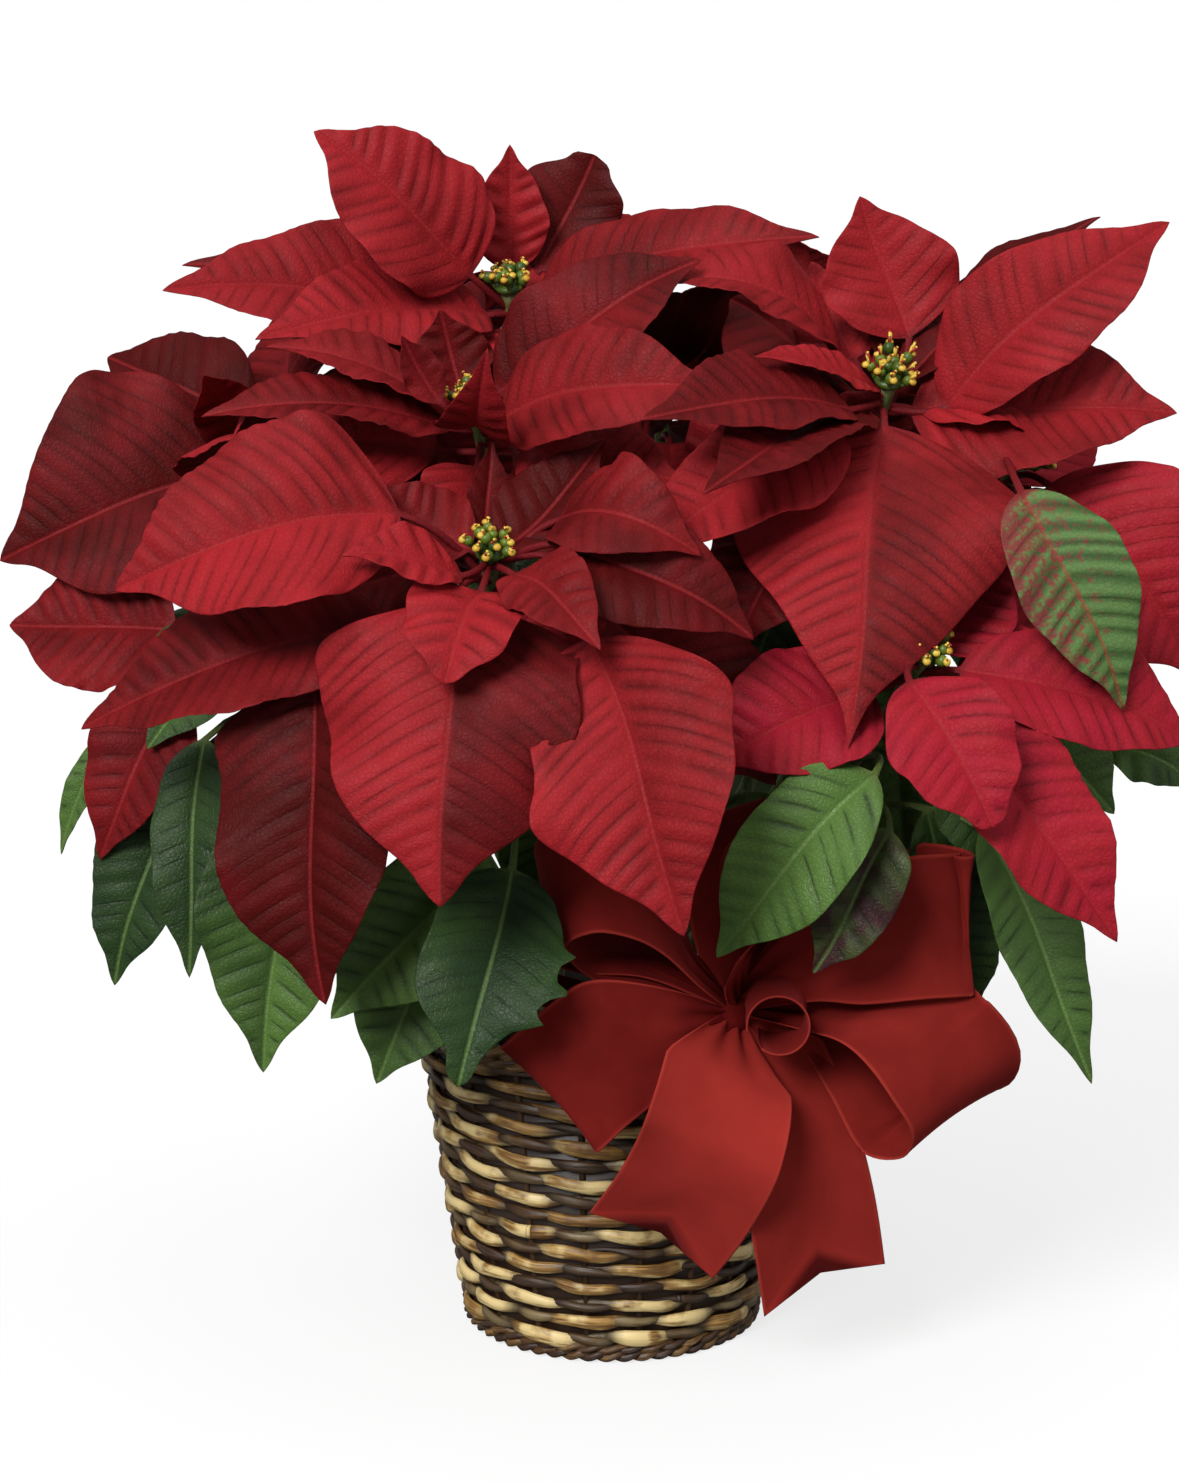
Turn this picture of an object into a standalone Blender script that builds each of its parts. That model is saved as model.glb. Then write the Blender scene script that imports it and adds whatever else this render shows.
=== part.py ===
# A potted poinsettia: dark red blooms on three pinched plants in a woven willow basket with a bow.
# The tables below are in millimetres; meshes are made in metres, +Z up. The origin is the middle
# of the basket's flat base, and the front, with the bow, looks along -Y.

import bpy
import bmesh
import math
import random
import numpy as np
from mathutils import Vector
from mathutils.bvhtree import BVHTree

MM = 0.001
FIT_GAP = 0.3             # clearance between pieces that touch
COLLECTION = "poinsettia"

# Basket: outer radii of the weave at the base and at the rim, its height, wall and floor
BASE_RADIUS = 65.0
RIM_RADIUS = 87.0
BASKET_HEIGHT = 147.0
BASKET_WALL = 4.5
BASKET_FLOOR = 4.0
WEAVE_ROWS = 9
WEAVE_PERIODS = 9         # pairs of stakes round the basket
WEAVE_OVER = 1.5          # how far a strand bulges where it passes over a stake
WEAVE_UNDER = -0.9
FOOT_HEIGHT = 7.0
RIM_BAND = 7.0

# Grow pot and soil
POT_HEIGHT = 128.0
POT_BASE_RADIUS = 57.5
POT_TOP_RADIUS = 77.5
POT_WALL = 1.5
POT_LIP = 1.2
SOIL_LEVEL = 121.0
TRUNK_RADIUS = 6.0
TRUNK_BOTTOM = 78.0
TRUNK_TOP = 176.0
BRANCH_RADIUS = 3.6
BRANCH_STRAIGHT = 6.0     # its last stretch, in line with the bloom's axis

# Bloom: the woody tip that the bracts grow from, and its flower cluster
AXIS_LENGTH = 30.0
AXIS_RADIUS = 3.8
FLOWER_BEADS = 4
BEAD_RADIUS = 3.3
BEAD_RING = 6.6
FLOWER_DISC = 6.2

# Blades
BLADE_THICKNESS = 0.8
TEST_THICKNESS = 1.7      # a blade's thickness while it looks for room
STALK_HALF = 1.7
SHAPE_RISE = 0.62         # exponents of the outline towards the root and the tip
SHAPE_FALL = 0.98
FOLD = 0.22               # how steeply both halves rise from the midrib
WAVE = 0.13               # the margin's wave, as a share of the half width
WIDER_BLADES = (40, 80)   # a blade wider than each of these has one more station
STALK_POINTS = 3          # the points at a stalk's root, which may touch its own bloom's blades

# Ribbon
RIBBON_WIDTH = 60.0
RIBBON_THICKNESS = 1.1
GATHER = 0.10             # share of the width that is left at the knot
KNOT = (50.0, -108.0, 172.0)
KNOT_RADIUS = 8.0
WIRE_RADIUS = 0.9
WIRE_FOOT = (34.5, -57.5)  # where the wire goes into the soil
WIRE_DEPTH = 30.0

# Where each plant's trunk stands in the soil
PLANTS = {"leafy_stem_front": (-27, -20), "leafy_stem_right": (31, -10), "leafy_stem_back": (-3, 33)}

# Blooms: the plant that each grows on, the place of its flowers and the way its tip points
BLOOMS = {
    "front": ("leafy_stem_front", (-50, -130, 369), (0.02, -0.62, 0.78)),
    "right": ("leafy_stem_right", (115, -45, 428), (0.15, -0.50, 0.85)),
    "lower_right": ("leafy_stem_right", (124, -125, 327), (0.25, -0.66, 0.70)),
    "upper_left": ("leafy_stem_back", (-45, 20, 462), (-0.10, -0.35, 0.93)),
    "centre_left": ("leafy_stem_front", (-58, -60, 420), (-0.20, -0.25, 0.94)),
    "far_left": ("leafy_stem_front", (-157, 10, 398), (-0.60, -0.10, 0.79)),
    "right_edge": ("leafy_stem_right", (179, 10, 387), (0.60, -0.10, 0.79)),
    "back": ("leafy_stem_back", (25, 130, 408), (0.05, 0.55, 0.83)),
    "back_left": ("leafy_stem_back", (-105, 115, 392), (-0.45, 0.50, 0.74)),
    "back_right": ("leafy_stem_back", (122, 105, 396), (0.42, 0.50, 0.76)),
}

# Bracts that the front shows. base is where the blade starts, as a place or as a length of bare
# stalk; face is the way the upper side looks; arch is how far the blade bows towards it; drop is
# how far below the flowers the stalk leaves the bloom's axis; fall is higher on a slimmer tip, and
# fold is below 0 where the halves hang from the midrib
BRACTS = {
    "front": [
        dict(tip=(-68, -205, 243), base=(-63, -165, 357), face=(0.0, -0.88, 0.48), width=104, drop=14,
             fold=-0.14),
        dict(tip=(26, -205, 232), base=(-10, -165, 341), face=(0.20, -0.85, 0.48), width=80, drop=20),
        dict(tip=(-198, -150, 358), base=(-86, -135, 386), face=(-0.10, -0.75, 0.65), width=88,
             arch=14, drop=16),
        dict(tip=(-115, -178, 196), base=(-119, -150, 322), face=(-0.40, -0.85, 0.32), width=78, drop=26),
        dict(tip=(-216, -130, 298), base=(-90, -140, 342), face=(-0.10, -0.72, 0.70), width=62,
             arch=12, drop=26),
        dict(tip=(55, -155, 339), base=(-22, -140, 375), face=(0.15, -0.80, 0.58), width=50, arch=10),
        dict(tip=(-106, -175, 376), base=(-61, -152, 364), face=(0.0, -0.60, 0.80), width=28,
             arch=5, drop=3),
        dict(tip=(-66, -182, 326), base=(-53, -155, 358), face=(-0.1, -0.85, 0.50), width=48,
             drop=5, fall=0.7),
        dict(tip=(-6, -185, 340), base=(-40, -150, 364), face=(0.2, -0.80, 0.55), width=36, drop=5),
        dict(tip=(14, -170, 352), base=(-26, -138, 370), face=(0.1, -0.72, 0.68), width=30, arch=6, drop=6),
        dict(tip=(-14, -120, 318), base=(-34, -112, 356), face=(0.05, -0.88, 0.45), width=44, drop=14),
        dict(tip=(-4, -102, 412), base=6, face=(-0.45, -0.85, 0.20), width=40, arch=-6, drop=4),
        dict(tip=(-50, -104, 414), base=5, face=(0.30, -0.90, 0.20), width=20, arch=-5, drop=5),
        dict(tip=(-99, -118, 396), base=8, face=(0.15, -0.80, 0.58), width=38, arch=-5, drop=4),
        dict(tip=(-74, -94, 410), base=6, face=(0.30, -0.92, 0.20), width=36, arch=-8, drop=5),
        dict(tip=(34, -125, 366), base=(-22, -120, 382), face=(0.10, -0.80, 0.58), width=46, drop=12),
        dict(tip=(66, -118, 272), base=(-4, -106, 342), face=(0.15, -0.88, 0.45), width=70, drop=24),
        dict(tip=(-116, -92, 350), base=(-74, -96, 362), face=(0.0, -0.85, 0.50), width=46, drop=12),
    ],
    "right": [
        dict(tip=(93, -150, 294), base=(112, -70, 414), face=(-0.10, -0.88, 0.42), width=116,
             arch=14, drop=12, fall=1.45, fold=-0.10),
        dict(tip=(11, -50, 471), base=(95, -36, 440), face=(-0.10, -0.45, 0.88), width=48,
             arch=18, drop=9),
        dict(tip=(34, -125, 390), base=14, face=(-0.20, -0.78, 0.58), width=50),
        dict(tip=(10, -100, 416), base=(97, -75, 421), face=(-0.12, -0.70, 0.70), width=50),
        dict(tip=(57, -92, 444), base=4, face=(-0.1, -0.70, 0.70), width=22, arch=4, drop=3),
        dict(tip=(69, -112, 419), base=4, face=(-0.1, -0.75, 0.60), width=26, arch=4, drop=4),
        dict(tip=(105, -10, 505), base=(126, -22, 446), face=(0.10, -0.97, 0.10), width=58, arch=-3, drop=11),
        dict(tip=(86, 12, 476), base=(103, -18, 436), face=(0.20, -0.95, 0.20), width=42, arch=-3, drop=14),
        dict(tip=(52, 36, 458), base=(92, 2, 430), face=(-0.05, -0.90, 0.42), width=58, arch=4, drop=18),
        dict(tip=(212, 20, 495), base=12, face=(0.10, -0.10, 0.98), width=42, arch=6),
        dict(tip=(234, -10, 491), base=(140, -44, 418), face=(-0.16, -0.82, 0.55), width=58, drop=12),
        dict(tip=(236, -60, 419), base=12, face=(0.12, -0.76, 0.64), width=70, arch=9, drop=14),
        dict(tip=(10, -130, 367), base=(93, -80, 413), face=(-0.10, -0.80, 0.58), width=52, drop=16),
        dict(tip=(48, -104, 322), base=(97, -62, 400), face=(-0.30, -0.82, 0.48), width=62, drop=20),
        dict(tip=(24, -50, 378), base=(90, -38, 412), face=(-0.10, -0.84, 0.52), width=64, drop=24),
        dict(tip=(40, -74, 346), base=(94, -52, 404), face=(-0.25, -0.84, 0.48), width=50, drop=22),
        dict(tip=(134, -2, 478), base=(122, -20, 430), face=(0.05, -0.95, 0.20), width=44, arch=-3, drop=12),
    ],
    "lower_right": [
        dict(tip=(146, -196, 272), base=(116, -160, 323), face=(0.05, -0.80, 0.60), width=50,
             drop=6, fall=0.6),
        dict(tip=(199, -175, 221), base=(134, -152, 303), face=(0.20, -0.85, 0.48), width=54, drop=16),
        dict(tip=(239, -120, 287), base=(139, -130, 322), face=(0.20, -0.72, 0.66), width=54,
             arch=12, drop=12),
        dict(tip=(40, -120, 280), base=16, face=(-0.15, -0.80, 0.58), width=60, arch=10, drop=14),
        dict(tip=(162, -95, 362), base=8, face=(-0.30, -0.92, 0.20), width=46, arch=-6, drop=6),
        dict(tip=(94, -94, 362), base=6, face=(0.30, -0.92, 0.25), width=32, arch=-6, drop=6),
    ],
    "upper_left": [
        dict(tip=(-128, 0, 532), base=(-62, 10, 470), face=(0.30, -0.86, 0.40), width=70, drop=9),
        dict(tip=(-45, 34, 525), base=(-45, 36, 470), face=(0.05, -1.00, 0.10), width=33, arch=-2, drop=9),
        dict(tip=(-8, 50, 520), base=(-33, 40, 470), face=(-0.20, -0.97, 0.10), width=50, arch=-3, drop=12,
             fall=0.5),
        dict(tip=(-150, -50, 448), base=12, face=(-0.10, -0.76, 0.64), width=54, arch=10, drop=10),
        dict(tip=(-192, -20, 466), base=18, face=(-0.05, -0.80, 0.60), width=64, arch=10, drop=12),
        dict(tip=(-188, 20, 474), base=16, face=(-0.05, -0.60, 0.80), width=44, drop=16),
        dict(tip=(88, -10, 488), base=10, face=(0.0, -0.66, 0.75), width=48, arch=12),
        dict(tip=(39, 70, 488), base=10, face=(0.0, -0.70, 0.70), width=52, drop=10),
    ],
    "centre_left": [
        dict(tip=(36, -50, 480), base=(-48, -55, 426), face=(-0.25, -0.82, 0.50), width=54),
        dict(tip=(43, -110, 435), base=(-47, -75, 417), face=(-0.05, -0.78, 0.62), width=54,
             arch=12, drop=12),
        dict(tip=(-170, -80, 419), base=12, face=(-0.05, -0.50, 0.86), width=42, arch=10, drop=10),
        dict(tip=(-145, -50, 444), base=10, face=(-0.05, -0.40, 0.91), width=38, drop=6),
        dict(tip=(-87, -80, 452), base=(-72, -74, 424), face=(0.30, -0.90, 0.20), width=18, arch=-3, drop=7),
        dict(tip=(-73, -34, 458), base=(-64, -42, 424), face=(0.10, -0.95, 0.15), width=34, arch=-4, drop=9),
        dict(tip=(28, -140, 404), base=18, face=(0.05, -0.75, 0.66), width=50, arch=10, drop=16),
        dict(tip=(-150, -30, 400), base=20, face=(-0.10, -0.75, 0.66), width=56, drop=20),
        dict(tip=(22, -92, 338), base=(-38, -58, 398), face=(0.05, -0.86, 0.50), width=58, drop=22),
        dict(tip=(-50, -98, 446), base=6, face=(0.05, -0.95, 0.30), width=34, arch=-4, drop=4),
        dict(tip=(-62, -92, 362), base=14, face=(0.0, -0.90, 0.44), width=48, drop=14),
        dict(tip=(-44, -24, 364), base=(-80, -32, 408), face=(0.0, -0.92, 0.38), width=60, drop=12),
        dict(tip=(4, -84, 366), base=(-34, -70, 408), face=(0.15, -0.88, 0.45), width=44, drop=14),
        dict(tip=(-100, -44, 342), base=(-74, -50, 384), face=(0.0, -0.88, 0.46), width=66, drop=26),
    ],
    "far_left": [
        dict(tip=(-267, -10, 348), base=10, face=(-0.15, -0.85, 0.50), width=94, arch=12, drop=12),
        dict(tip=(-262, -60, 330), base=(-188, -36, 322), face=(-0.25, -0.78, 0.58), width=66, drop=26),
        dict(tip=(-228, 26, 438), base=(-160, 20, 402), face=(-0.20, -0.72, 0.66), width=56, arch=6, drop=10),
        dict(tip=(-172, -28, 428), base=5, face=(-0.10, -0.95, 0.30), width=34, arch=-4, drop=7),
        dict(tip=(-218, -75, 230), base=(-182, -60, 300), face=(-0.35, -0.88, 0.30), width=46, drop=24),
    ],
    "right_edge": [
        dict(tip=(247, -60, 306), base=(185, -40, 385), face=(0.15, -0.88, 0.45), width=80, arch=14),
        dict(tip=(123, -110, 340), base=(167, -50, 380), face=(-0.20, -0.82, 0.52), width=40, drop=14),
        dict(tip=(204, -138, 307), base=(164, -112, 392), face=(0.15, -0.92, 0.36), width=48,
             arch=10, drop=5),
        dict(tip=(186, -70, 312), base=(166, -36, 372), face=(0.10, -0.86, 0.50), width=52, drop=22),
        dict(tip=(168, -28, 424), base=6, face=(0.10, -0.95, 0.30), width=36, arch=-4, drop=4),
    ],
    "back": [
        dict(tip=(30, 20, 462), base=(26, 100, 418), face=(0.0, -0.75, 0.66), width=66, drop=9),
        dict(tip=(66, 30, 428), base=(34, 100, 402), face=(0.0, -0.80, 0.60), width=62, drop=16),
        dict(tip=(92, 52, 438), base=(40, 100, 412), face=(0.0, -0.82, 0.56), width=52, drop=12),
        dict(tip=(-14, 40, 424), base=(16, 100, 400), face=(0.0, -0.80, 0.60), width=60, drop=22),
        dict(tip=(26, 0, 350), base=(26, 60, 390), face=(0.0, -0.84, 0.54), width=70, drop=26),
    ],
    "back_left": [],
    "back_right": [],
}

# Bracts that the front doesn't show: how many, the first one's angle round the bloom's axis and
# the step to the next, both in degrees from the direction that points away from the middle
RING_BRACTS = {
    "upper_left": (2, -10, 80, 96),
    "right": (2, 20, 60, 80),
    "lower_right": (1, 34, -70, 92),
    "far_left": (4, 20, 78, 104),
    "right_edge": (4, -130, 70, 104),
    "centre_left": (0, 0, 0, 0),
    "back": (5, -110, 55, 112),
    "back_left": (6, -150, 58, 112),
    "back_right": (6, -150, 58, 112),
}
INNER_BRACTS = 2          # small upright ones round the flowers of the blooms at the back
RING_SEED = 12

# Green leaves that the front shows, with the bloom whose branch bears each one and the place
# along that branch
LEAVES = [
    dict(on="lower_right", at=0.78, tip=(41, -170, 212), base=(104, -148, 283),
         face=(-0.25, -0.88, 0.40), width=50, arch=10),
    dict(on="lower_right", at=0.66, tip=(80, -150, 201), base=(111, -140, 258),
         face=(0.10, -0.92, 0.36), width=36, arch=6),
    dict(on="lower_right", at=0.55, tip=(199, -120, 145), base=(154, -95, 248),
         face=(0.20, -0.88, 0.42), width=36, arch=8),
    dict(on="lower_right", at=0.42, tip=(157, -90, 162), base=(131, -85, 254),
         face=(0.15, -0.92, 0.35), width=40, arch=6),
    dict(on="right_edge", at=0.72, tip=(211, -80, 251), base=(163, -70, 294),
         face=(0.20, -0.86, 0.46), width=44, arch=8),
    dict(on="right_edge", at=0.82, tip=(250, -60, 257), base=(213, -50, 274),
         face=(0.30, -0.80, 0.52), width=30, arch=8),
    dict(on="far_left", at=0.76, tip=(-243, -20, 219), base=(-218, -20, 276),
         face=(-0.50, -0.80, 0.30), width=16, arch=4),
    dict(on="far_left", at=0.66, tip=(-213, -90, 178), base=(-183, -64, 266),
         face=(-0.20, -0.92, 0.32), width=48, arch=6),
    dict(on="far_left", at=0.54, tip=(-177, -110, 188), base=(-171, -85, 284),
         face=(-0.25, -0.92, 0.28), width=36, arch=6),
    dict(on="front", at=0.40, tip=(-145, -130, 153), base=(-129, -110, 270),
         face=(-0.10, -0.94, 0.30), width=66, arch=6),
    dict(on="front", at=0.66, tip=(-116, -140, 179), base=(-52, -118, 244),
         face=(0.20, -0.92, 0.32), width=56, arch=6),
    dict(on="front", at=0.30, tip=(-99, -120, 145), base=(-70, -100, 212),
         face=(0.0, -0.94, 0.32), width=50, arch=5),
    dict(on="front", at=0.52, tip=(-63, -134, 152), base=(-42, -118, 236),
         face=(0.10, -0.94, 0.32), width=58, arch=6, fall=0.7),
    dict(on="front", at=0.34, tip=(12, -96, 176), base=(-22, -70, 238),
         face=(0.15, -0.92, 0.36), width=54, arch=6),
    dict(on="lower_right", at=0.36, tip=(62, -84, 214), base=(56, -60, 256),
         face=(-0.10, -0.92, 0.36), width=50, arch=6),
    dict(on="centre_left", at=0.62, tip=(-8, -84, 262), base=(-34, -62, 322),
         face=(0.10, -0.90, 0.42), width=56, arch=6),
    dict(on="right", at=0.62, tip=(52, -60, 290), base=(74, -42, 340),
         face=(-0.10, -0.90, 0.42), width=56, arch=6),
    dict(on="far_left", at=0.88, tip=(-232, 20, 337), base=(-198, 20, 371),
         face=(-0.30, -0.80, 0.50), width=40, arch=6),
    dict(on="lower_right", at=0.60, tip=(172, -86, 214), base=(140, -78, 280),
         face=(0.10, -0.92, 0.38), width=40, arch=5),
    dict(on="right", at=0.50, tip=(100, -74, 256), base=(98, -52, 326),
         face=(0.0, -0.92, 0.38), width=50, arch=5),
    dict(on="lower_right", at=0.82, tip=(126, -62, 214), base=(122, -52, 272),
         face=(0.0, -0.94, 0.34), width=46, arch=5),
    dict(on="front", at=0.50, tip=(-22, -84, 190), base=(-16, -70, 260),
         face=(0.0, -0.94, 0.34), width=60, arch=4),
    dict(on="far_left", at=0.70, tip=(-196, -66, 276), base=(-156, -48, 328),
         face=(-0.20, -0.90, 0.38), width=46, arch=5),
    dict(on="far_left", at=0.48, tip=(-154, -52, 206), base=(-148, -44, 282),
         face=(-0.10, -0.94, 0.34), width=62, arch=4),
]

# Leaves that the front doesn't show, on each branch: places along it and turn from straight out
BACK_LEAVES = {
    "back": ((0.42, -38), (0.60, 30), (0.80, -12)),
    "back_left": ((0.42, -34), (0.60, 34), (0.80, 0)),
    "back_right": ((0.42, 34), (0.60, -34), (0.80, 0)),
    "far_left": ((0.52, -55), (0.86, -20)),
    "right_edge": ((0.50, 50), (0.88, 15)),
    "upper_left": ((0.55, 60), (0.70, -50)),
    "right": ((0.60, 25),),
}
BACK_LEAF_LENGTH = 128
BACK_LEAF_WIDTH = 50
BACK_LEAF_STALK = 38
BACK_LEAF_DROP = -58

# Ribbon loops: the ribbon's near edge from the knot out and back, the way its width lies from that
# edge, and its full width
LOOPS = [
    ([(30, -126, 179), (8, -140, 188), (-14, -149, 191), (-34, -149, 183), (-47, -140, 167),
      (-42, -120, 168), (-8, -110, 175), (25, -106, 176)], (0.66, 0.05, -0.75), 60),
    ([(36, -124, 187), (21, -130, 203), (8, -136, 212), (-8, -138, 215), (-20, -130, 206),
      (-8, -120, 190), (26, -114, 176)], (-0.25, 0.80, 0.55), 56),
    ([(15, -108, 187), (-12, -116, 192), (-37, -118, 197), (-39, -112, 180), (-8, -104, 172)],
     (0.10, 0.95, 0.25), 30),
    ([(38, -102, 188), (31, -101, 212), (29, -96, 238), (36, -84, 249), (42, -76, 232),
      (46, -86, 200)], (0.98, 0.05, 0.10), 60),
    ([(46, -128, 190), (55, -132, 206), (70, -126, 218), (83, -112, 217), (78, -102, 197)],
     (0.50, 0.72, 0.48), 40),
    ([(82, -122, 181), (103, -126, 181), (128, -122, 182), (150, -108, 180), (133, -94, 181),
      (98, -92, 179)], (-0.14, 0.12, 0.98), 60),
    ([(76, -124, 170), (92, -138, 169), (103, -145, 161), (113, -147, 147), (122, -142, 130),
      (118, -130, 116), (103, -120, 116), (90, -112, 138), (76, -106, 158)],
     (0.74, 0.60, 0.30), 66),
]
RING_LOOP_CENTRE = (67, -127, 177)
RING_LOOP_RADIUS = 12.5
RING_LOOP_WIDTH = 30.0
# Tails: the middle line from the knot to the notch, the way the width lies, and how fast it opens
TAILS = [
    ([(47, -120, 152), (41, -123, 128), (33, -119, 104), (24, -113, 86)], (0.80, 0.05, -0.60), 2.9),
    ([(62, -117, 152), (73, -117, 126), (82, -111, 97), (87, -104, 68)], (0.86, 0.42, 0.14), 1.4),
]
TAIL_NOTCH = 21.0

# Search for room: a blade that would cross another moves along the line of sight, then bows
SHIFTS = (0, 7, -7, 14, -14, 21, -21, 30, -30, 40, -40)
BOWS = (0, 7, -7, 14, -14, 22)
SCALES = (1.0, 0.92, 0.84, 0.74, 0.62)
SIGHT = np.array((0.0, 0.977, -0.212))
GOLDEN_ANGLE = 2.39996


def unit(v):
    v = np.asarray(v, dtype=float)
    return v / np.linalg.norm(v)


def material(name, colour, roughness):
    m = bpy.data.materials.new(name)
    m.use_nodes = True
    shader = m.node_tree.nodes["Principled BSDF"]
    shader.inputs["Base Color"].default_value = (*colour, 1.0)
    shader.inputs["Roughness"].default_value = roughness
    shader.inputs["Metallic"].default_value = 0.0
    return m


def link(name, mesh, collection):
    obj = bpy.data.objects.new(name, mesh)
    collection.objects.link(obj)
    return obj


def mesh_from(name, points_mm, faces):
    mesh = bpy.data.meshes.new(name)
    mesh.from_pydata((np.asarray(points_mm) * MM).tolist(), [], faces)
    mesh.update()
    return mesh


def solid_mesh(obj, tidy=False):
    """The object's mesh with its modifiers, its loose caps welded and, if tidy, the flat faces
    that a union splits made whole again."""
    evaluated = obj.evaluated_get(bpy.context.evaluated_depsgraph_get())
    mesh = bpy.data.meshes.new_from_object(evaluated)
    bm = bmesh.new()
    bm.from_mesh(mesh)
    bmesh.ops.remove_doubles(bm, verts=bm.verts, dist=1e-6)
    if tidy:
        bmesh.ops.dissolve_limit(bm, angle_limit=math.radians(0.4), verts=bm.verts, edges=bm.edges)
        bmesh.ops.triangulate(bm, faces=bm.faces)
    bm.to_mesh(mesh)
    bm.free()
    return mesh


def fused(name, base_mesh, additions, parts, shade):
    """One body: the base mesh with every object of the additions joined to it."""
    body = link(name, base_mesh, parts)
    if additions:
        tools = bpy.data.collections.new(name + "_pieces")
        bpy.context.scene.collection.children.link(tools)
        for piece in additions:
            for owner in piece.users_collection:
                owner.objects.unlink(piece)
            tools.objects.link(piece)
        union = body.modifiers.new("union", 'BOOLEAN')
        union.operation = 'UNION'
        union.operand_type = 'COLLECTION'
        union.collection = tools
        union.solver = 'MANIFOLD'
        mesh = solid_mesh(body, tidy=True)
        body.modifiers.clear()
        body.data = mesh
        for piece in additions:
            bpy.data.objects.remove(piece)
        bpy.data.collections.remove(tools)
    body.data.materials.clear()
    body.data.materials.append(shade)
    return body


def tube(name, points_mm, radius_mm, collection, resolution=1):
    """A rod along a list of points, as a closed mesh object."""
    curve = bpy.data.curves.new(name, 'CURVE')
    curve.dimensions = '3D'
    curve.bevel_depth = radius_mm * MM
    curve.bevel_resolution = resolution
    curve.use_fill_caps = True
    spline = curve.splines.new('POLY')
    spline.points.add(len(points_mm) - 1)
    for point, place in zip(spline.points, points_mm):
        point.co = (place[0] * MM, place[1] * MM, place[2] * MM, 1.0)
    rod = link(name + "_curve", curve, collection)
    mesh = solid_mesh(rod)
    matrix = rod.matrix_world.copy()
    bpy.data.objects.remove(rod)
    obj = link(name, mesh, collection)
    obj.matrix_world = matrix
    return obj


def turned(name, profile_mm, steps, collection):
    """A profile of (radius, height) points turned round the Z axis."""
    mesh = bpy.data.meshes.new(name)
    points = [(r * MM, 0.0, z * MM) for r, z in profile_mm]
    mesh.from_pydata(points, [(i, i + 1) for i in range(len(points) - 1)], [])
    obj = link(name, mesh, collection)
    screw = obj.modifiers.new("turn", 'SCREW')
    screw.steps = steps
    screw.render_steps = steps
    screw.use_merge_vertices = True
    screw.merge_threshold = 0.00001
    screw.use_smooth_shade = True
    turned_mesh = solid_mesh(obj)
    obj.modifiers.clear()
    obj.data = turned_mesh
    return obj


# Blades

def blade_base(leaf):
    """Where the blade starts: a given place, or a length of stalk from the root to the tip."""
    if np.ndim(leaf["base"]):
        return np.array(leaf["base"], dtype=float)
    root = np.array(leaf["root"], dtype=float)
    return root + unit(leaf["tip"] - root) * leaf["base"]


def blade_grid(leaf, rows, columns):
    """Points of a leaf at rows v (0 at the blade's base, 1 at its tip, -1 at the stalk's root) and
    columns u (-1 to 1 across). The midrib is bowed by 4 arch v (1 - v), the half width follows
    v^rise (1 - v)^fall, both halves lift from the midrib, and the margin is waved."""
    base = blade_base(leaf)
    tip = np.array(leaf["tip"], dtype=float)
    length = np.linalg.norm(tip - base)
    along = (tip - base) / length
    face = np.array(leaf["face"], dtype=float)
    normal = unit(face - face.dot(along) * along)
    side = np.cross(along, normal)
    v = np.asarray(rows, dtype=float)[1:, None]
    u = np.asarray(columns, dtype=float)[None, :]
    fall = leaf["fall"]
    peak = SHAPE_RISE / (SHAPE_RISE + fall)
    top = peak ** SHAPE_RISE * (1.0 - peak) ** fall
    outline = v ** SHAPE_RISE * (1.0 - v) ** fall / top
    half = np.maximum(0.5 * leaf["width"] * outline, STALK_HALF * np.sqrt(1.0 - v))
    slope = 4.0 * leaf["arch"] / length * (1.0 - 2.0 * v)
    station = (normal - slope[..., None] * along) / np.sqrt(1.0 + slope ** 2)[..., None]
    wave = WAVE * outline * np.sin(9.0 * v + leaf["phase"] + 1.3 * np.sign(u))
    lift = half * np.abs(u) * (leaf["fold"] + wave * np.abs(u))
    rise = 4.0 * leaf["arch"] * v * (1.0 - v)
    blade = (base + along * (length * v)[..., None] + normal * rise[..., None]
             + side * (half * u)[..., None] + station * lift[..., None])
    root = np.array(leaf["root"], dtype=float)
    stalk_way = unit(base - root)
    across = unit(side - side.dot(stalk_way) * stalk_way + 0.01 * normal)
    foot = root + across * (STALK_HALF * u[0])[:, None]
    return np.vstack((foot[None], blade))


def blade_rows(spans):
    """The stalk's root, then stations from the blade's base to its tip."""
    return np.concatenate(([-1.0], np.linspace(0.0, 1.0, spans + 1) ** 1.15))


def blade_faces(rows):
    """Triangles of a surface three points wide that ends in a single tip point."""
    faces = []
    for i in range(rows - 2):
        for j in range(2):
            a = 3 * i + j
            faces.append((a, a + 3, a + 4))
            faces.append((a, a + 4, a + 1))
    last = 3 * (rows - 2)
    tip = 3 * (rows - 1)
    faces.append((last, tip, last + 1))
    faces.append((last + 1, tip, last + 2))
    return faces


def blade_surface(leaf):
    spans = 3 + sum(leaf["width"] > width for width in WIDER_BLADES)
    rows = blade_rows(spans)
    grid = blade_grid(leaf, rows, (-1.0, 0.0, 1.0))
    points = grid.reshape(-1, 3)[:3 * (len(rows) - 1) + 1]
    return points, blade_faces(len(rows)), rows


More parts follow.
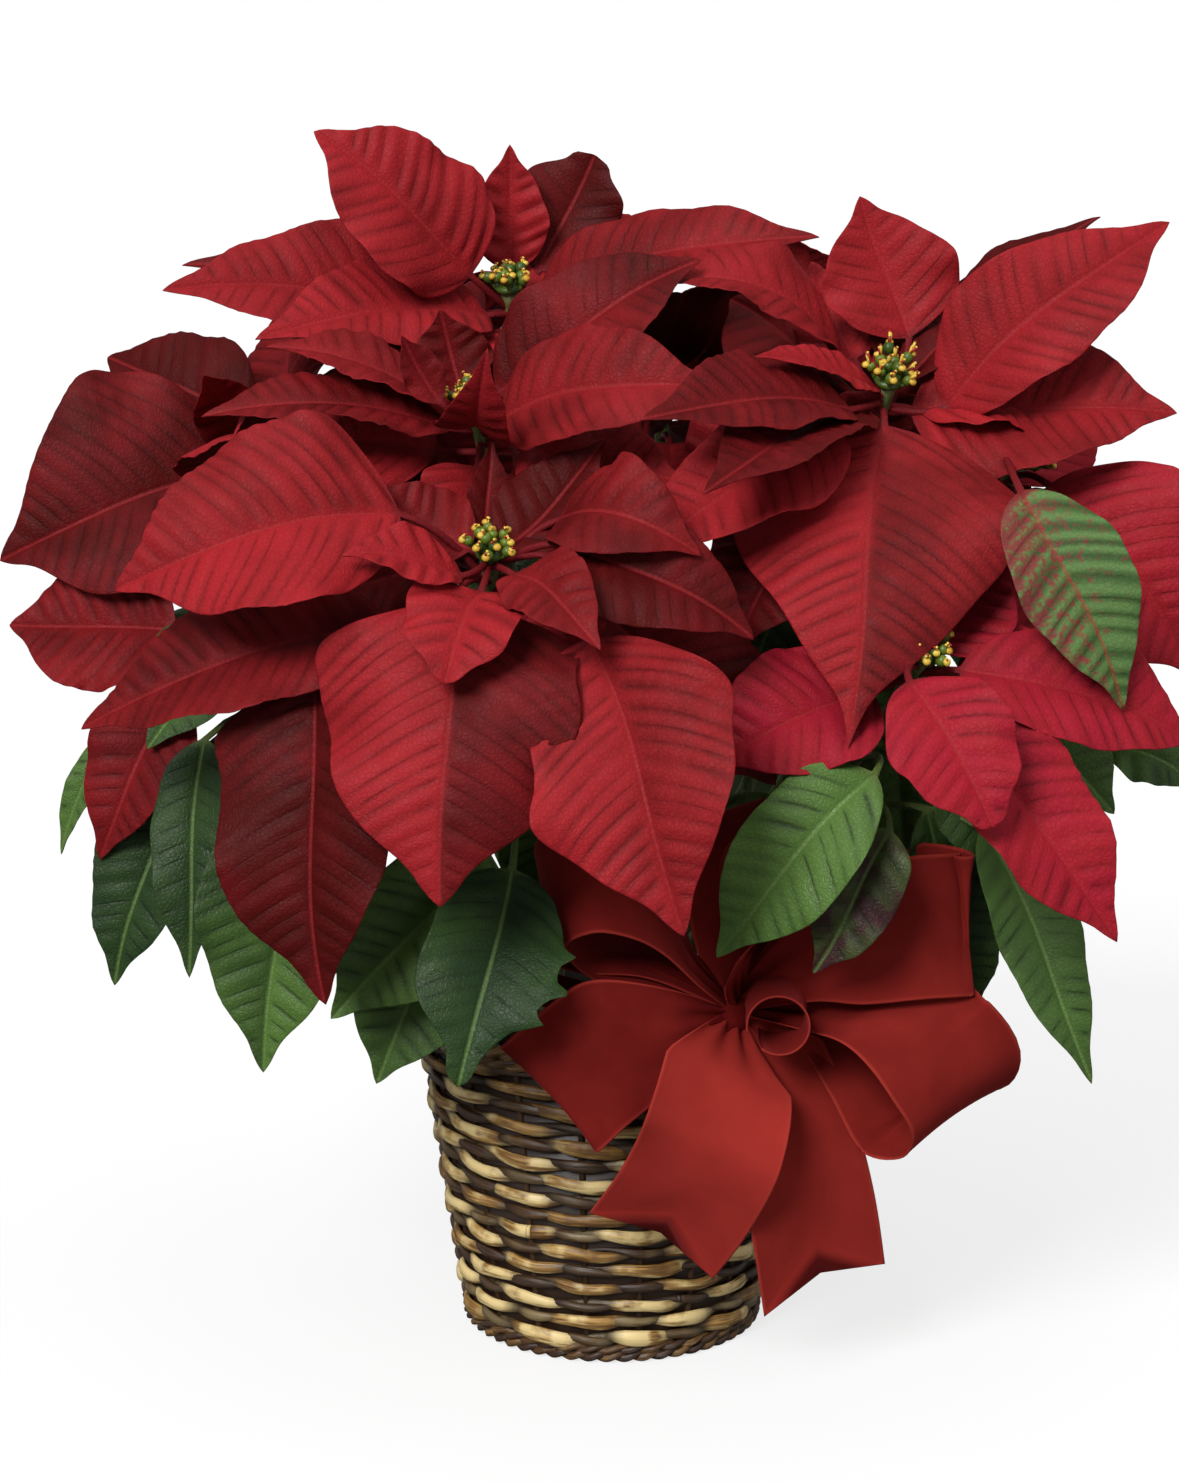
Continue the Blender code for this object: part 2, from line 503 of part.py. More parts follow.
def closed_shape(points, faces, thickness):
    """The same surface as a thin closed shell of triangles, for the search for room."""
    normals = np.zeros_like(points)
    for a, b, c in faces:
        n = np.cross(points[b] - points[a], points[c] - points[a])
        for k in (a, b, c):
            normals[k] += n
    normals /= np.maximum(np.linalg.norm(normals, axis=1, keepdims=True), 1e-9)
    shell = np.vstack((points + normals * thickness / 2, points - normals * thickness / 2))
    shift = len(points)
    edges = {}
    for face in faces:
        for k in range(3):
            edges[(face[k], face[(k + 1) % 3])] = True
    rim = [e for e in edges if (e[1], e[0]) not in edges]
    shell_faces = list(faces) + [(c + shift, b + shift, a + shift) for a, b, c in faces]
    for a, b in rim:
        shell_faces.append((b, a, a + shift))
        shell_faces.append((b, a + shift, b + shift))
    return shell, shell_faces


class Room:
    """The space that is already taken, by node."""

    def __init__(self):
        self.taken = []

    def add(self, node, points, faces, outer_faces=None):
        tree = BVHTree.FromPolygons(points.tolist(), faces)
        outer = BVHTree.FromPolygons(points.tolist(), outer_faces) if outer_faces else None
        self.taken.append((node, points.min(axis=0), points.max(axis=0), tree, outer))

    def clear(self, node, points, faces, outer_faces, own):
        low = points.min(axis=0)
        high = points.max(axis=0)
        tree = BVHTree.FromPolygons(points.tolist(), faces)
        outer = BVHTree.FromPolygons(points.tolist(), outer_faces)
        for other, other_low, other_high, other_tree, other_outer in self.taken:
            if np.any(other_low > high) or np.any(other_high < low):
                continue
            if other != node:
                if tree.overlap(other_tree):
                    return False
            elif own and other_outer is not None and outer.overlap(other_outer):
                return False
        return True


def settled(leaf, node, room):
    """The leaf bent clear of what is already there, or None where there is no room for it."""
    for own in (True, False):
        for scale in SCALES:
            for bow in BOWS:
                for shift in SHIFTS:
                    trial = dict(leaf)
                    root = np.array(leaf["root"], dtype=float)
                    base = blade_base(leaf)
                    trial["base"] = root + (base - root) * scale
                    trial["tip"] = root + (np.array(leaf["tip"]) + leaf["slide"] * shift - root) * scale
                    trial["width"] = leaf["width"] * scale
                    trial["arch"] = leaf["arch"] + bow
                    points, faces, rows = blade_surface(trial)
                    shell, shell_faces = closed_shape(points, faces, TEST_THICKNESS)
                    count = len(points)
                    outer = [f for f in shell_faces if min(k % count for k in f) >= STALK_POINTS]
                    if room.clear(node, shell, shell_faces, outer, own):
                        room.add(node, shell, shell_faces, outer)
                        return trial
    print("no room for a leaf of", node, leaf["tip"])
    return None


def blade_object(leaf, name, collection):
    points, faces, rows = blade_surface(leaf)
    blade = link(name, mesh_from(name, points, faces), collection)
    wall = blade.modifiers.new("thickness", 'SOLIDIFY')
    wall.thickness = BLADE_THICKNESS * MM
    wall.offset = 0.0
    return blade


# Plants

def branch_points(bloom):
    """A smooth branch from the plant's trunk to the base of the bloom's axis."""
    plant, centre, direction = BLOOMS[bloom]
    axis = unit(direction)
    seat = np.array(centre, dtype=float) - axis * (AXIS_LENGTH + FIT_GAP)
    end = seat - axis * BRANCH_STRAIGHT
    x, y = PLANTS[plant]
    start = np.array((x, y, TRUNK_TOP - 8.0))
    reach = end - start
    first = start + np.array((0.28 * reach[0], 0.28 * reach[1], 0.30 * np.linalg.norm(reach)))
    second = end - axis * 0.35 * np.linalg.norm(reach)
    t = np.linspace(0.0, 1.0, 5)[:, None]
    bend = ((1 - t) ** 3 * start + 3 * (1 - t) ** 2 * t * first
            + 3 * (1 - t) * t ** 2 * second + t ** 3 * end)
    return np.vstack((bend, seat))


def along_branch(points, share):
    """The point at a share of the branch's bend, from the trunk."""
    place = share * (len(points) - 2)
    k = min(int(place), len(points) - 3)
    return points[k] + (points[k + 1] - points[k]) * (place - k)


def complete(row, root, number):
    """A table's row with its root and the values that it leaves at their usual ones."""
    leaf = dict(arch=8, fall=SHAPE_FALL, fold=FOLD, phase=number * GOLDEN_ANGLE, slide=SIGHT)
    leaf.update(row)
    leaf["root"] = root
    leaf["tip"] = np.array(row["tip"], dtype=float)
    return leaf


def bract_leaf(bloom, row, number):
    plant, centre, direction = BLOOMS[bloom]
    axis = unit(direction)
    base = np.array(centre, dtype=float) - axis * row.get("drop", 8)
    out = unit(np.array(row["tip"], dtype=float) - base)
    out = unit(out - out.dot(axis) * axis * 0.6)
    return complete(row, base + out * 1.2, number)


def ring_rows(bloom):
    """Bracts that the front doesn't show, spaced round the bloom's axis."""
    plant, centre, direction = BLOOMS[bloom]
    count, first, step, length = RING_BRACTS.get(bloom, (0, 0, 0, 0))
    axis = unit(direction)
    away = unit(np.array((centre[0], centre[1], 0.0)))
    out = unit(away - away.dot(axis) * axis)
    across = np.cross(axis, out)
    draw = random.Random(RING_SEED + len(bloom))
    rows = []
    for k in range(count):
        angle = math.radians(first + step * k + draw.uniform(-7, 7))
        lift = math.radians((-12, 14)[k % 2] + draw.uniform(-6, 6))
        reach = length * draw.uniform(0.88, 1.08)
        flat = out * math.cos(angle) + across * math.sin(angle)
        tip = np.array(centre) + reach * (math.cos(lift) * flat + math.sin(lift) * axis)
        face = unit(axis + 0.25 * flat)
        rows.append(dict(tip=tip, face=face, width=reach * 0.56, base=reach * 0.17, arch=9,
                         drop=10 + 9 * (k % 2), slide=axis))
    if count > 4:
        for k in range(INNER_BRACTS):
            angle = math.radians(first + 20 + 360 / INNER_BRACTS * k)
            flat = out * math.cos(angle) + across * math.sin(angle)
            tip = np.array(centre) + 46 * (math.cos(0.65) * flat + math.sin(0.65) * axis)
            rows.append(dict(tip=tip, face=unit(axis - 0.6 * flat), width=25, base=8, arch=-4, drop=5,
                             slide=axis))
    return rows


def back_leaf(bloom, share, turn, number):
    points = branch_points(bloom)
    root = along_branch(points, share)
    centre = np.array(BLOOMS[bloom][1], dtype=float)
    heading = math.atan2(centre[1], centre[0]) + math.radians(turn)
    out = np.array((math.cos(heading), math.sin(heading), 0.0))
    tip = root + out * BACK_LEAF_LENGTH * 0.86 + np.array((0.0, 0.0, BACK_LEAF_DROP))
    row = dict(tip=tip, face=unit(out * 0.6 + np.array((0, 0, 0.8))), width=BACK_LEAF_WIDTH,
               base=BACK_LEAF_STALK, arch=14, slide=np.array((0.0, 0.0, 1.0)))
    return complete(row, root, number)


def plan_leaves(room):
    """Every blade's place: the bracts from front to back, then the green leaves."""
    bracts = {bloom: [] for bloom in BLOOMS}
    for rows_of in (lambda b: BRACTS[b], ring_rows):
        for bloom in BLOOMS:
            for row in rows_of(bloom):
                number = len(bracts[bloom])
                leaf = settled(bract_leaf(bloom, row, number), bloom_node(bloom), room)
                if leaf:
                    bracts[bloom].append(leaf)
    leaves = {plant: [] for plant in PLANTS}
    for number, row in enumerate(LEAVES):
        plant = BLOOMS[row["on"]][0]
        root = along_branch(branch_points(row["on"]), row["at"])
        leaf = settled(complete(row, root, number), plant, room)
        if leaf:
            leaves[plant].append(leaf)
    for bloom, places in BACK_LEAVES.items():
        for number, (share, turn) in enumerate(places):
            plant = BLOOMS[bloom][0]
            leaf = settled(back_leaf(bloom, share, turn, number), plant, room)
            if leaf:
                leaves[plant].append(leaf)
    return bracts, leaves


def bloom_node(bloom):
    return "bloom_" + bloom + "_bracts"


def oriented(obj, place, direction):
    obj.location = Vector(place) * MM
    obj.rotation_mode = 'QUATERNION'
    obj.rotation_quaternion = Vector(direction).to_track_quat('Z', 'Y')


def baked(obj):
    """The object's mesh with its place put into it."""
    bpy.context.view_layer.update()
    obj.data.transform(obj.matrix_world)
    obj.matrix_world.identity()
    return obj.data


def build_bloom(bloom, leaves, parts, scratch, red):
    plant, centre, direction = BLOOMS[bloom]
    axis = unit(direction)
    bm = bmesh.new()
    bmesh.ops.create_cone(bm, cap_ends=True, segments=6, radius1=AXIS_RADIUS * MM,
                          radius2=AXIS_RADIUS * 0.9 * MM, depth=AXIS_LENGTH * MM)
    mesh = bpy.data.meshes.new(bloom_node(bloom))
    bm.to_mesh(mesh)
    bm.free()
    stem_tip = link("stem_tip", mesh, scratch)
    oriented(stem_tip, np.array(centre) - axis * AXIS_LENGTH / 2, axis)
    base = baked(stem_tip)
    bpy.data.objects.remove(stem_tip)
    blades = [blade_object(leaf, "blade", scratch) for leaf in leaves]
    return fused(bloom_node(bloom), base, blades, parts, red)


def bead(place_mm, radius_mm, collection):
    bm = bmesh.new()
    bmesh.ops.create_uvsphere(bm, u_segments=4, v_segments=3, radius=radius_mm * MM)
    bmesh.ops.translate(bm, verts=bm.verts, vec=Vector(place_mm) * MM)
    mesh = bpy.data.meshes.new("bead")
    bm.to_mesh(mesh)
    bm.free()
    return link("bead", mesh, collection)


def flower_frame(bloom):
    plant, centre, direction = BLOOMS[bloom]
    axis = unit(direction)
    first = unit(np.cross(axis, (0.3, 1.0, 0.2)))
    return np.array(centre, dtype=float), axis, first, np.cross(axis, first)


def build_flowers(bloom, parts, scratch, yellow):
    """The small flowers: beads round one in the middle, on a short disc."""
    centre, axis, first, second = flower_frame(bloom)
    bm = bmesh.new()
    bmesh.ops.create_cone(bm, cap_ends=True, segments=6, radius1=FLOWER_DISC * 0.5 * MM,
                          radius2=FLOWER_DISC * MM, depth=4.0 * MM)
    mesh = bpy.data.meshes.new("disc")
    bm.to_mesh(mesh)
    bm.free()
    disc = link("disc", mesh, scratch)
    oriented(disc, centre + axis * (FIT_GAP + 2.0), axis)
    base = baked(disc)
    bpy.data.objects.remove(disc)
    beads = [bead(centre + axis * (FIT_GAP + 6.4), BEAD_RADIUS * 1.1, scratch)]
    for k in range(FLOWER_BEADS - 1):
        angle = 2 * math.pi * k / (FLOWER_BEADS - 1)
        out = first * math.cos(angle) + second * math.sin(angle)
        place = centre + out * BEAD_RING + axis * (FIT_GAP + 4.6 + 1.2 * (k % 2))
        beads.append(bead(place, BEAD_RADIUS, scratch))
    return fused("bloom_" + bloom + "_flowers", base, beads, parts, yellow)


def build_plant(plant, leaves, parts, scratch, green):
    x, y = PLANTS[plant]
    trunk = tube("trunk", [(x, y, TRUNK_BOTTOM), (x, y, TRUNK_TOP)], TRUNK_RADIUS, scratch, 2)
    pieces = []
    for bloom, (owner, centre, direction) in BLOOMS.items():
        if owner == plant:
            pieces.append(tube("branch", branch_points(bloom), BRANCH_RADIUS, scratch))
    pieces += [blade_object(leaf, "blade", scratch) for leaf in leaves]
    base = trunk.data
    bpy.data.objects.remove(trunk)
    return fused(plant, base, pieces, parts, green)


# Basket, pot and soil

def weave_radius(height):
    return BASE_RADIUS + (RIM_RADIUS - BASE_RADIUS) * height / BASKET_HEIGHT


def build_basket(parts, straw):
    """A turned shell whose outer wall is raised into woven rows by a formula."""
    low = FOOT_HEIGHT
    high = BASKET_HEIGHT - RIM_BAND
    pitch = (high - low) / WEAVE_ROWS
    inner_base = weave_radius(BASKET_FLOOR) - BASKET_WALL
    inner_top = weave_radius(BASKET_HEIGHT) - BASKET_WALL
    rim_top = weave_radius(BASKET_HEIGHT) - BASKET_WALL / 2
    profile = [(0, BASKET_FLOOR), (inner_base, BASKET_FLOOR), (inner_top, BASKET_HEIGHT - 2.5),
               (rim_top, BASKET_HEIGHT), (weave_radius(BASKET_HEIGHT) + 1.5, BASKET_HEIGHT - 3.0)]
    for k in range(2 * WEAVE_ROWS + 1):
        z = high - pitch * k / 2
        profile.append((weave_radius(z), z))
    profile += [(BASE_RADIUS + 2.2, 4.6), (BASE_RADIUS + 1.4, 1.4), (BASE_RADIUS - 1.5, 0), (0, 0)]
    basket = turned("basket", profile, 4 * WEAVE_PERIODS, parts)
    for vertex in basket.data.vertices:
        x, y, z = vertex.co / MM
        radius = math.hypot(x, y)
        if radius < weave_radius(z) - 1.0 or not low - 0.1 < z < high + 0.1:
            continue
        row = (high - z) / pitch
        middle = 0.5 - 0.5 * math.cos(2 * math.pi * row)
        turn = math.atan2(y, x) * WEAVE_PERIODS
        over = 0.5 + 0.5 * math.cos(turn + math.pi * math.floor(row))
        push = middle * (WEAVE_UNDER + (WEAVE_OVER - WEAVE_UNDER) * over) - 0.6 * (1 - middle)
        vertex.co.x += push * MM * x / radius
        vertex.co.y += push * MM * y / radius
    basket.data.materials.append(straw)
    return basket


def build_pot(parts, black):
    floor = BASKET_FLOOR + FIT_GAP
    top = floor + POT_HEIGHT
    profile = [(0, floor + POT_WALL), (POT_BASE_RADIUS - POT_WALL, floor + POT_WALL),
               (POT_TOP_RADIUS - POT_WALL, top), (POT_TOP_RADIUS + POT_LIP, top),
               (POT_TOP_RADIUS + POT_LIP, top - 9.0), (POT_TOP_RADIUS - 1.4, top - 9.0),
               (POT_BASE_RADIUS, floor + 1.5), (POT_BASE_RADIUS - 2.0, floor), (0, floor)]
    pot = turned("grow_pot", profile, 24, parts)
    pot.data.materials.append(black)
    return pot


def wire_points():
    """From behind the knot over the basket's rim, then straight down into the soil."""
    x, y, z = KNOT
    back = KNOT_RADIUS + FIT_GAP + WIRE_RADIUS
    rim_top = BASKET_HEIGHT + FIT_GAP + WIRE_RADIUS
    bend = [(x, y + back - 0.5, z), (x - 3, y + 17, z - 12), (44.5, -79, rim_top + 0.6),
            (41.5, -72, rim_top + 0.4), (37, -63, rim_top - 3), (*WIRE_FOOT, SOIL_LEVEL + 6)]
    return np.vstack((smooth_path(bend, 9), (*WIRE_FOOT, SOIL_LEVEL - WIRE_DEPTH)))


def build_soil(parts, peat):
    """Peat that fills the pot, cut with a plain hole for each trunk and for the wire."""
    floor = BASKET_FLOOR + FIT_GAP + POT_WALL + FIT_GAP
    lean = (POT_TOP_RADIUS - POT_BASE_RADIUS) / POT_HEIGHT
    wall = POT_WALL + FIT_GAP
    foot = POT_BASE_RADIUS - wall
    mouth = POT_BASE_RADIUS - wall + lean * (SOIL_LEVEL - floor)
    profile = [(0, SOIL_LEVEL + 1.5), (mouth * 0.6, SOIL_LEVEL + 1.0), (mouth - 0.3, SOIL_LEVEL),
               (foot - 0.3, floor), (0, floor)]
    soil = turned("soil", profile, 24, parts)
    cutters = bpy.data.collections.new("hole_cutters")
    bpy.context.scene.collection.children.link(cutters)
    holes = [(x, y, TRUNK_RADIUS + FIT_GAP, TRUNK_BOTTOM - FIT_GAP) for x, y in PLANTS.values()]
    holes.append((*WIRE_FOOT, WIRE_RADIUS + FIT_GAP, SOIL_LEVEL - WIRE_DEPTH - FIT_GAP))
    for x, y, radius, bottom in holes:
        hole = tube("hole", [(x, y, bottom), (x, y, SOIL_LEVEL + 20)], radius, cutters, 2)
        hole.hide_render = True
        hole.display_type = 'WIRE'
    cut = soil.modifiers.new("holes", 'BOOLEAN')
    cut.operation = 'DIFFERENCE'
    cut.operand_type = 'COLLECTION'
    cut.collection = cutters
    cut.solver = 'MANIFOLD'
    mesh = solid_mesh(soil)
    soil.modifiers.clear()
    soil.data = mesh
    for hole in list(cutters.objects):
        bpy.data.objects.remove(hole)
    bpy.data.collections.remove(cutters)
    soil.data.materials.clear()
    soil.data.materials.append(peat)
    return soil


# Bow

def smooth_path(points, count):
    """A Catmull-Rom curve through the points, read at even steps."""
    p = np.array(points, dtype=float)
    p = np.vstack((2 * p[0] - p[1], p, 2 * p[-1] - p[-2]))
    spans = len(p) - 3
    place = np.linspace(0, spans, count)
    k = np.minimum(place.astype(int), spans - 1)
    t = (place - k)[:, None]
    a, b, c, d = p[k], p[k + 1], p[k + 2], p[k + 3]
    return 0.5 * (2 * b + (c - a) * t + (2 * a - 5 * b + 4 * c - d) * t ** 2
                  + (3 * b - a - 3 * c + d) * t ** 3)


def ribbon_surface(path, across, half):
    """Two points across at each station: the path less and plus the half width."""
    grid = np.stack((path - across * half[:, None], path + across * half[:, None]), axis=1)
    faces = []
    for a in range(0, 2 * (len(path) - 1), 2):
        faces.append((a, a + 2, a + 3))
        faces.append((a, a + 3, a + 1))
    return grid.reshape(-1, 3), faces


def ribbon_object(path, across, half, collection):
    points, faces = ribbon_surface(path, across, half)
    band = link("band", mesh_from("band", points, faces), collection)
    wall = band.modifiers.new("thickness", 'SOLIDIFY')
    wall.thickness = RIBBON_THICKNESS * MM
    wall.offset = 0.0
    return band, points, faces


def across_path(path, width_way):
    """The width's direction at each station, made square to the path."""
    tangent = np.gradient(path, axis=0)
    tangent /= np.linalg.norm(tangent, axis=1, keepdims=True)
    way = np.tile(unit(width_way), (len(path), 1))
    across = way - (way * tangent).sum(axis=1, keepdims=True) * tangent
    return across / np.linalg.norm(across, axis=1, keepdims=True)


def loop_band(points, width_way, width):
    """A loop from the knot and back, gathered narrow at the knot and full width outside."""
    knot = np.array(KNOT)
    edge = smooth_path([knot] + points + [knot + np.array((0.0, 3.0, 0.0))], len(points) + 2)
    share = np.linspace(0.0, 1.0, len(edge))
    open_part = np.minimum(1.0, 1.35 * np.sin(math.pi * share)) ** 0.9
    half = 0.5 * width * (GATHER + (1.0 - GATHER) * np.maximum(open_part, 0.0))
    across = across_path(edge, width_way)
    return edge + across * half[:, None], across, half


def tail_band(points, width_way, opening):
    knot = np.array(KNOT)
    path = smooth_path([knot] + points, 6)
    share = np.linspace(0.0, 1.0, len(path))
    half = 0.5 * RIBBON_WIDTH * np.minimum(1.0, GATHER + opening * share)
    return path, across_path(path, width_way), half


def ribbon_bands():
    bands = [loop_band(points, way, width) for points, way, width in LOOPS]
    angles = np.linspace(0.35, 2 * math.pi - 0.35, 9) + math.pi * 1.2
    centre = np.array(RING_LOOP_CENTRE)
    ring = centre + RING_LOOP_RADIUS * np.stack(
        (np.cos(angles), np.zeros_like(angles), np.sin(angles)), axis=1)
    way = np.tile((0.0, 1.0, 0.0), (len(ring), 1))
    bands.append((ring, way, np.full(len(ring), RING_LOOP_WIDTH / 2)))
    return bands


def build_bow(parts, scratch, velvet, room):
    """The ribbon's loops and forked tails, joined where the wire gathers them."""
    bm = bmesh.new()
    bmesh.ops.create_uvsphere(bm, u_segments=8, v_segments=5, radius=KNOT_RADIUS * MM)
    bmesh.ops.translate(bm, verts=bm.verts, vec=Vector(KNOT) * MM)
    mesh = bpy.data.meshes.new("ribbon_bow")
    bm.to_mesh(mesh)
    bm.free()
    pieces = []
    for path, across, half in ribbon_bands():
        band, points, faces = ribbon_object(path, across, half, scratch)
        pieces.append(band)
        room.add("ribbon_bow", *closed_shape(points, faces, TEST_THICKNESS))
    for points, way, opening in TAILS:
        path, across, half = tail_band(points, way, opening)
        surface, faces = ribbon_surface(path, across, half)
        end = unit(path[-1] - path[-2])
        left = len(surface) - 2
        surface = np.vstack((surface, path[-1] + end, surface[left:] + end * TAIL_NOTCH))
        faces += [(left, left + 3, left + 2), (left, left + 2, left + 1), (left + 1, left + 2, left + 4)]
        tail = link("tail", mesh_from("tail", surface, faces), scratch)
        wall = tail.modifiers.new("thickness", 'SOLIDIFY')
        wall.thickness = RIBBON_THICKNESS * MM
        wall.offset = 0.0
        pieces.append(tail)
        room.add("ribbon_bow", *closed_shape(surface, faces, TEST_THICKNESS))
    return fused("ribbon_bow", mesh, pieces, parts, velvet)


def take_room(obj, room):
    points = np.array([tuple(v.co / MM) for v in obj.data.vertices])
    obj.data.calc_loop_triangles()
    faces = [tuple(t.vertices) for t in obj.data.loop_triangles]
    room.add(obj.name, points, faces)


def main():
    for obj in list(bpy.data.objects):
        bpy.data.objects.remove(obj)
    parts = bpy.data.collections.new(COLLECTION)
    scratch = bpy.data.collections.new("scratch")
    bpy.context.scene.collection.children.link(parts)
    bpy.context.scene.collection.children.link(scratch)
    red = material("bract_red", (0.33, 0.015, 0.022), 0.55)
    green = material("leaf_green", (0.035, 0.10, 0.025), 0.5)
    yellow = material("flower_yellow", (0.55, 0.45, 0.05), 0.5)
    straw = material("willow", (0.42, 0.28, 0.12), 0.6)
    black = material("pot_plastic", (0.01, 0.01, 0.01), 0.5)
    peat = material("peat", (0.03, 0.018, 0.01), 0.95)
    velvet = material("ribbon_velvet", (0.22, 0.012, 0.012), 0.85)
    steel = material("wire_steel", (0.05, 0.10, 0.04), 0.5)
    room = Room()
    basket = build_basket(parts, straw)
    take_room(basket, room)
    build_pot(parts, black)
    take_room(build_soil(parts, peat), room)
    build_bow(parts, scratch, velvet, room)
    wire = tube("bow_wire", wire_points(), WIRE_RADIUS, parts)
    wire.data.materials.append(steel)
    take_room(wire, room)
    for bloom in BLOOMS:
        take_room(build_flowers(bloom, parts, scratch, yellow), room)
        branch = tube("branch", branch_points(bloom), BRANCH_RADIUS + 0.5, scratch)
        points = np.array([tuple(v.co / MM) for v in branch.data.vertices])
        branch.data.calc_loop_triangles()
        faces = [tuple(t.vertices) for t in branch.data.loop_triangles]
        room.add(BLOOMS[bloom][0], points, faces)
        bpy.data.objects.remove(branch)
        centre, axis, first, second = flower_frame(bloom)
        tip = tube("tip", [centre, centre - axis * AXIS_LENGTH], AXIS_RADIUS + 0.6, scratch)
        points = np.array([tuple(v.co / MM) for v in tip.data.vertices])
        tip.data.calc_loop_triangles()
        room.add(bloom_node(bloom), points, [tuple(t.vertices) for t in tip.data.loop_triangles])
        bpy.data.objects.remove(tip)
    bracts, leaves = plan_leaves(room)
    for bloom in BLOOMS:
        build_bloom(bloom, bracts[bloom], parts, scratch, red)
    for plant in PLANTS:
        build_plant(plant, leaves[plant], parts, scratch, green)
    bpy.data.collections.remove(scratch)


main()
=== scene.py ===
# A poinsettia in a woven willow basket, with a velvet ribbon bow on the front.
# Places in the tables are in millimetres, as in the CAD: +Z is up, the origin is the middle of the
# basket's base, and the front looks along -Y. The meshes are in metres.

import math
import random
import time
import bpy
import numpy as np
from mathutils.bvhtree import BVHTree
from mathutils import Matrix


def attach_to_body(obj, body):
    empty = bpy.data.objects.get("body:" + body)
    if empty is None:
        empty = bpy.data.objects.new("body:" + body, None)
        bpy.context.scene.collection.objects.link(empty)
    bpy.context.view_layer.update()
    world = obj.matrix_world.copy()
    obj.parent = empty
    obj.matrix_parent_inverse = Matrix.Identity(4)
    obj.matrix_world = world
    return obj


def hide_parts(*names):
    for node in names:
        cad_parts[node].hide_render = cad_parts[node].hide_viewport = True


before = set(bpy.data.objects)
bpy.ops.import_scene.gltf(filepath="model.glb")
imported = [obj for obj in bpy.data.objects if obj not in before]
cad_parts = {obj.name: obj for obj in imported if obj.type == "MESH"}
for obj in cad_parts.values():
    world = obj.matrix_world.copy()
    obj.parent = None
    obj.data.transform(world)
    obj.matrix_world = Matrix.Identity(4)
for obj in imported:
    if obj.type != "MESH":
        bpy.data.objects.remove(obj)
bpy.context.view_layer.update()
startTime = time.time()
mm = 0.001


def stage(text):
    print(f"[{time.time() - startTime:5.1f} s] {text}")


# Camera: 1.5 m in front and a little above, fitted to the basket's rim and foot in the photograph

cameraLook = {
    "place": (-0.0102, -1.5, 0.58),
    "downDegrees": 11.84,
    "focalPixels": 3460,
    "imageHeight": 1483,
    "sensor": 36.0,
}


def addCamera(look):
    data = bpy.data.cameras.new("photoCamera")
    data.sensor_fit = 'VERTICAL'
    data.sensor_height = look["sensor"]
    data.lens = look["focalPixels"] / look["imageHeight"] * look["sensor"]
    data.clip_end = 100.0
    camera = bpy.data.objects.new("photoCamera", data)
    camera.location = look["place"]
    camera.rotation_euler = (math.pi / 2 - math.radians(look["downDegrees"]), 0.0, 0.0)
    bpy.context.scene.collection.objects.link(camera)
    bpy.context.scene.camera = camera


addCamera(cameraLook)

# The blades and loops start from the CAD's own values: the same tables and the same search for
# room, so each finished leaf lies on the plain one that it replaces.

axisLength = 30.0
axisRadius = 3.8
branchRadius = 3.6
branchStraight = 6.0     # its last stretch, in line with the bloom's axis
trunkTop = 176.0
fitGap = 0.3             # clearance between pieces that touch
testThickness = 1.7      # a blade's thickness while it looks for room
stalkHalf = 1.7
stalkPoints = 3          # the points at a stalk's root, which may touch its own bloom's blades
shapeRise = 0.62         # exponents of the outline towards the root and the tip
shapeFall = 0.98
foldRise = 0.22          # how steeply both halves rise from the midrib
marginWave = 0.13        # the margin's wave, as a share of the half width
widerBlades = (40, 80)   # a blade wider than each of these has one more station
ribbonWidth = 60.0
gatherShare = 0.10       # share of the width that is left at the knot
knotPlace = (50.0, -108.0, 172.0)

# Where each plant's trunk stands in the soil
plantPlaces = {"leafy_stem_front": (-27, -20), "leafy_stem_right": (31, -10), "leafy_stem_back": (-3, 33)}

# Blooms: the plant that each grows on, the place of its flowers and the way its tip points
bloomTable = {
    "front": ("leafy_stem_front", (-50, -130, 369), (0.02, -0.62, 0.78)),
    "right": ("leafy_stem_right", (115, -45, 428), (0.15, -0.50, 0.85)),
    "lower_right": ("leafy_stem_right", (124, -125, 327), (0.25, -0.66, 0.70)),
    "upper_left": ("leafy_stem_back", (-45, 20, 462), (-0.10, -0.35, 0.93)),
    "centre_left": ("leafy_stem_front", (-58, -60, 420), (-0.20, -0.25, 0.94)),
    "far_left": ("leafy_stem_front", (-157, 10, 398), (-0.60, -0.10, 0.79)),
    "right_edge": ("leafy_stem_right", (179, 10, 387), (0.60, -0.10, 0.79)),
    "back": ("leafy_stem_back", (25, 130, 408), (0.05, 0.55, 0.83)),
    "back_left": ("leafy_stem_back", (-105, 115, 392), (-0.45, 0.50, 0.74)),
    "back_right": ("leafy_stem_back", (122, 105, 396), (0.42, 0.50, 0.76)),
}

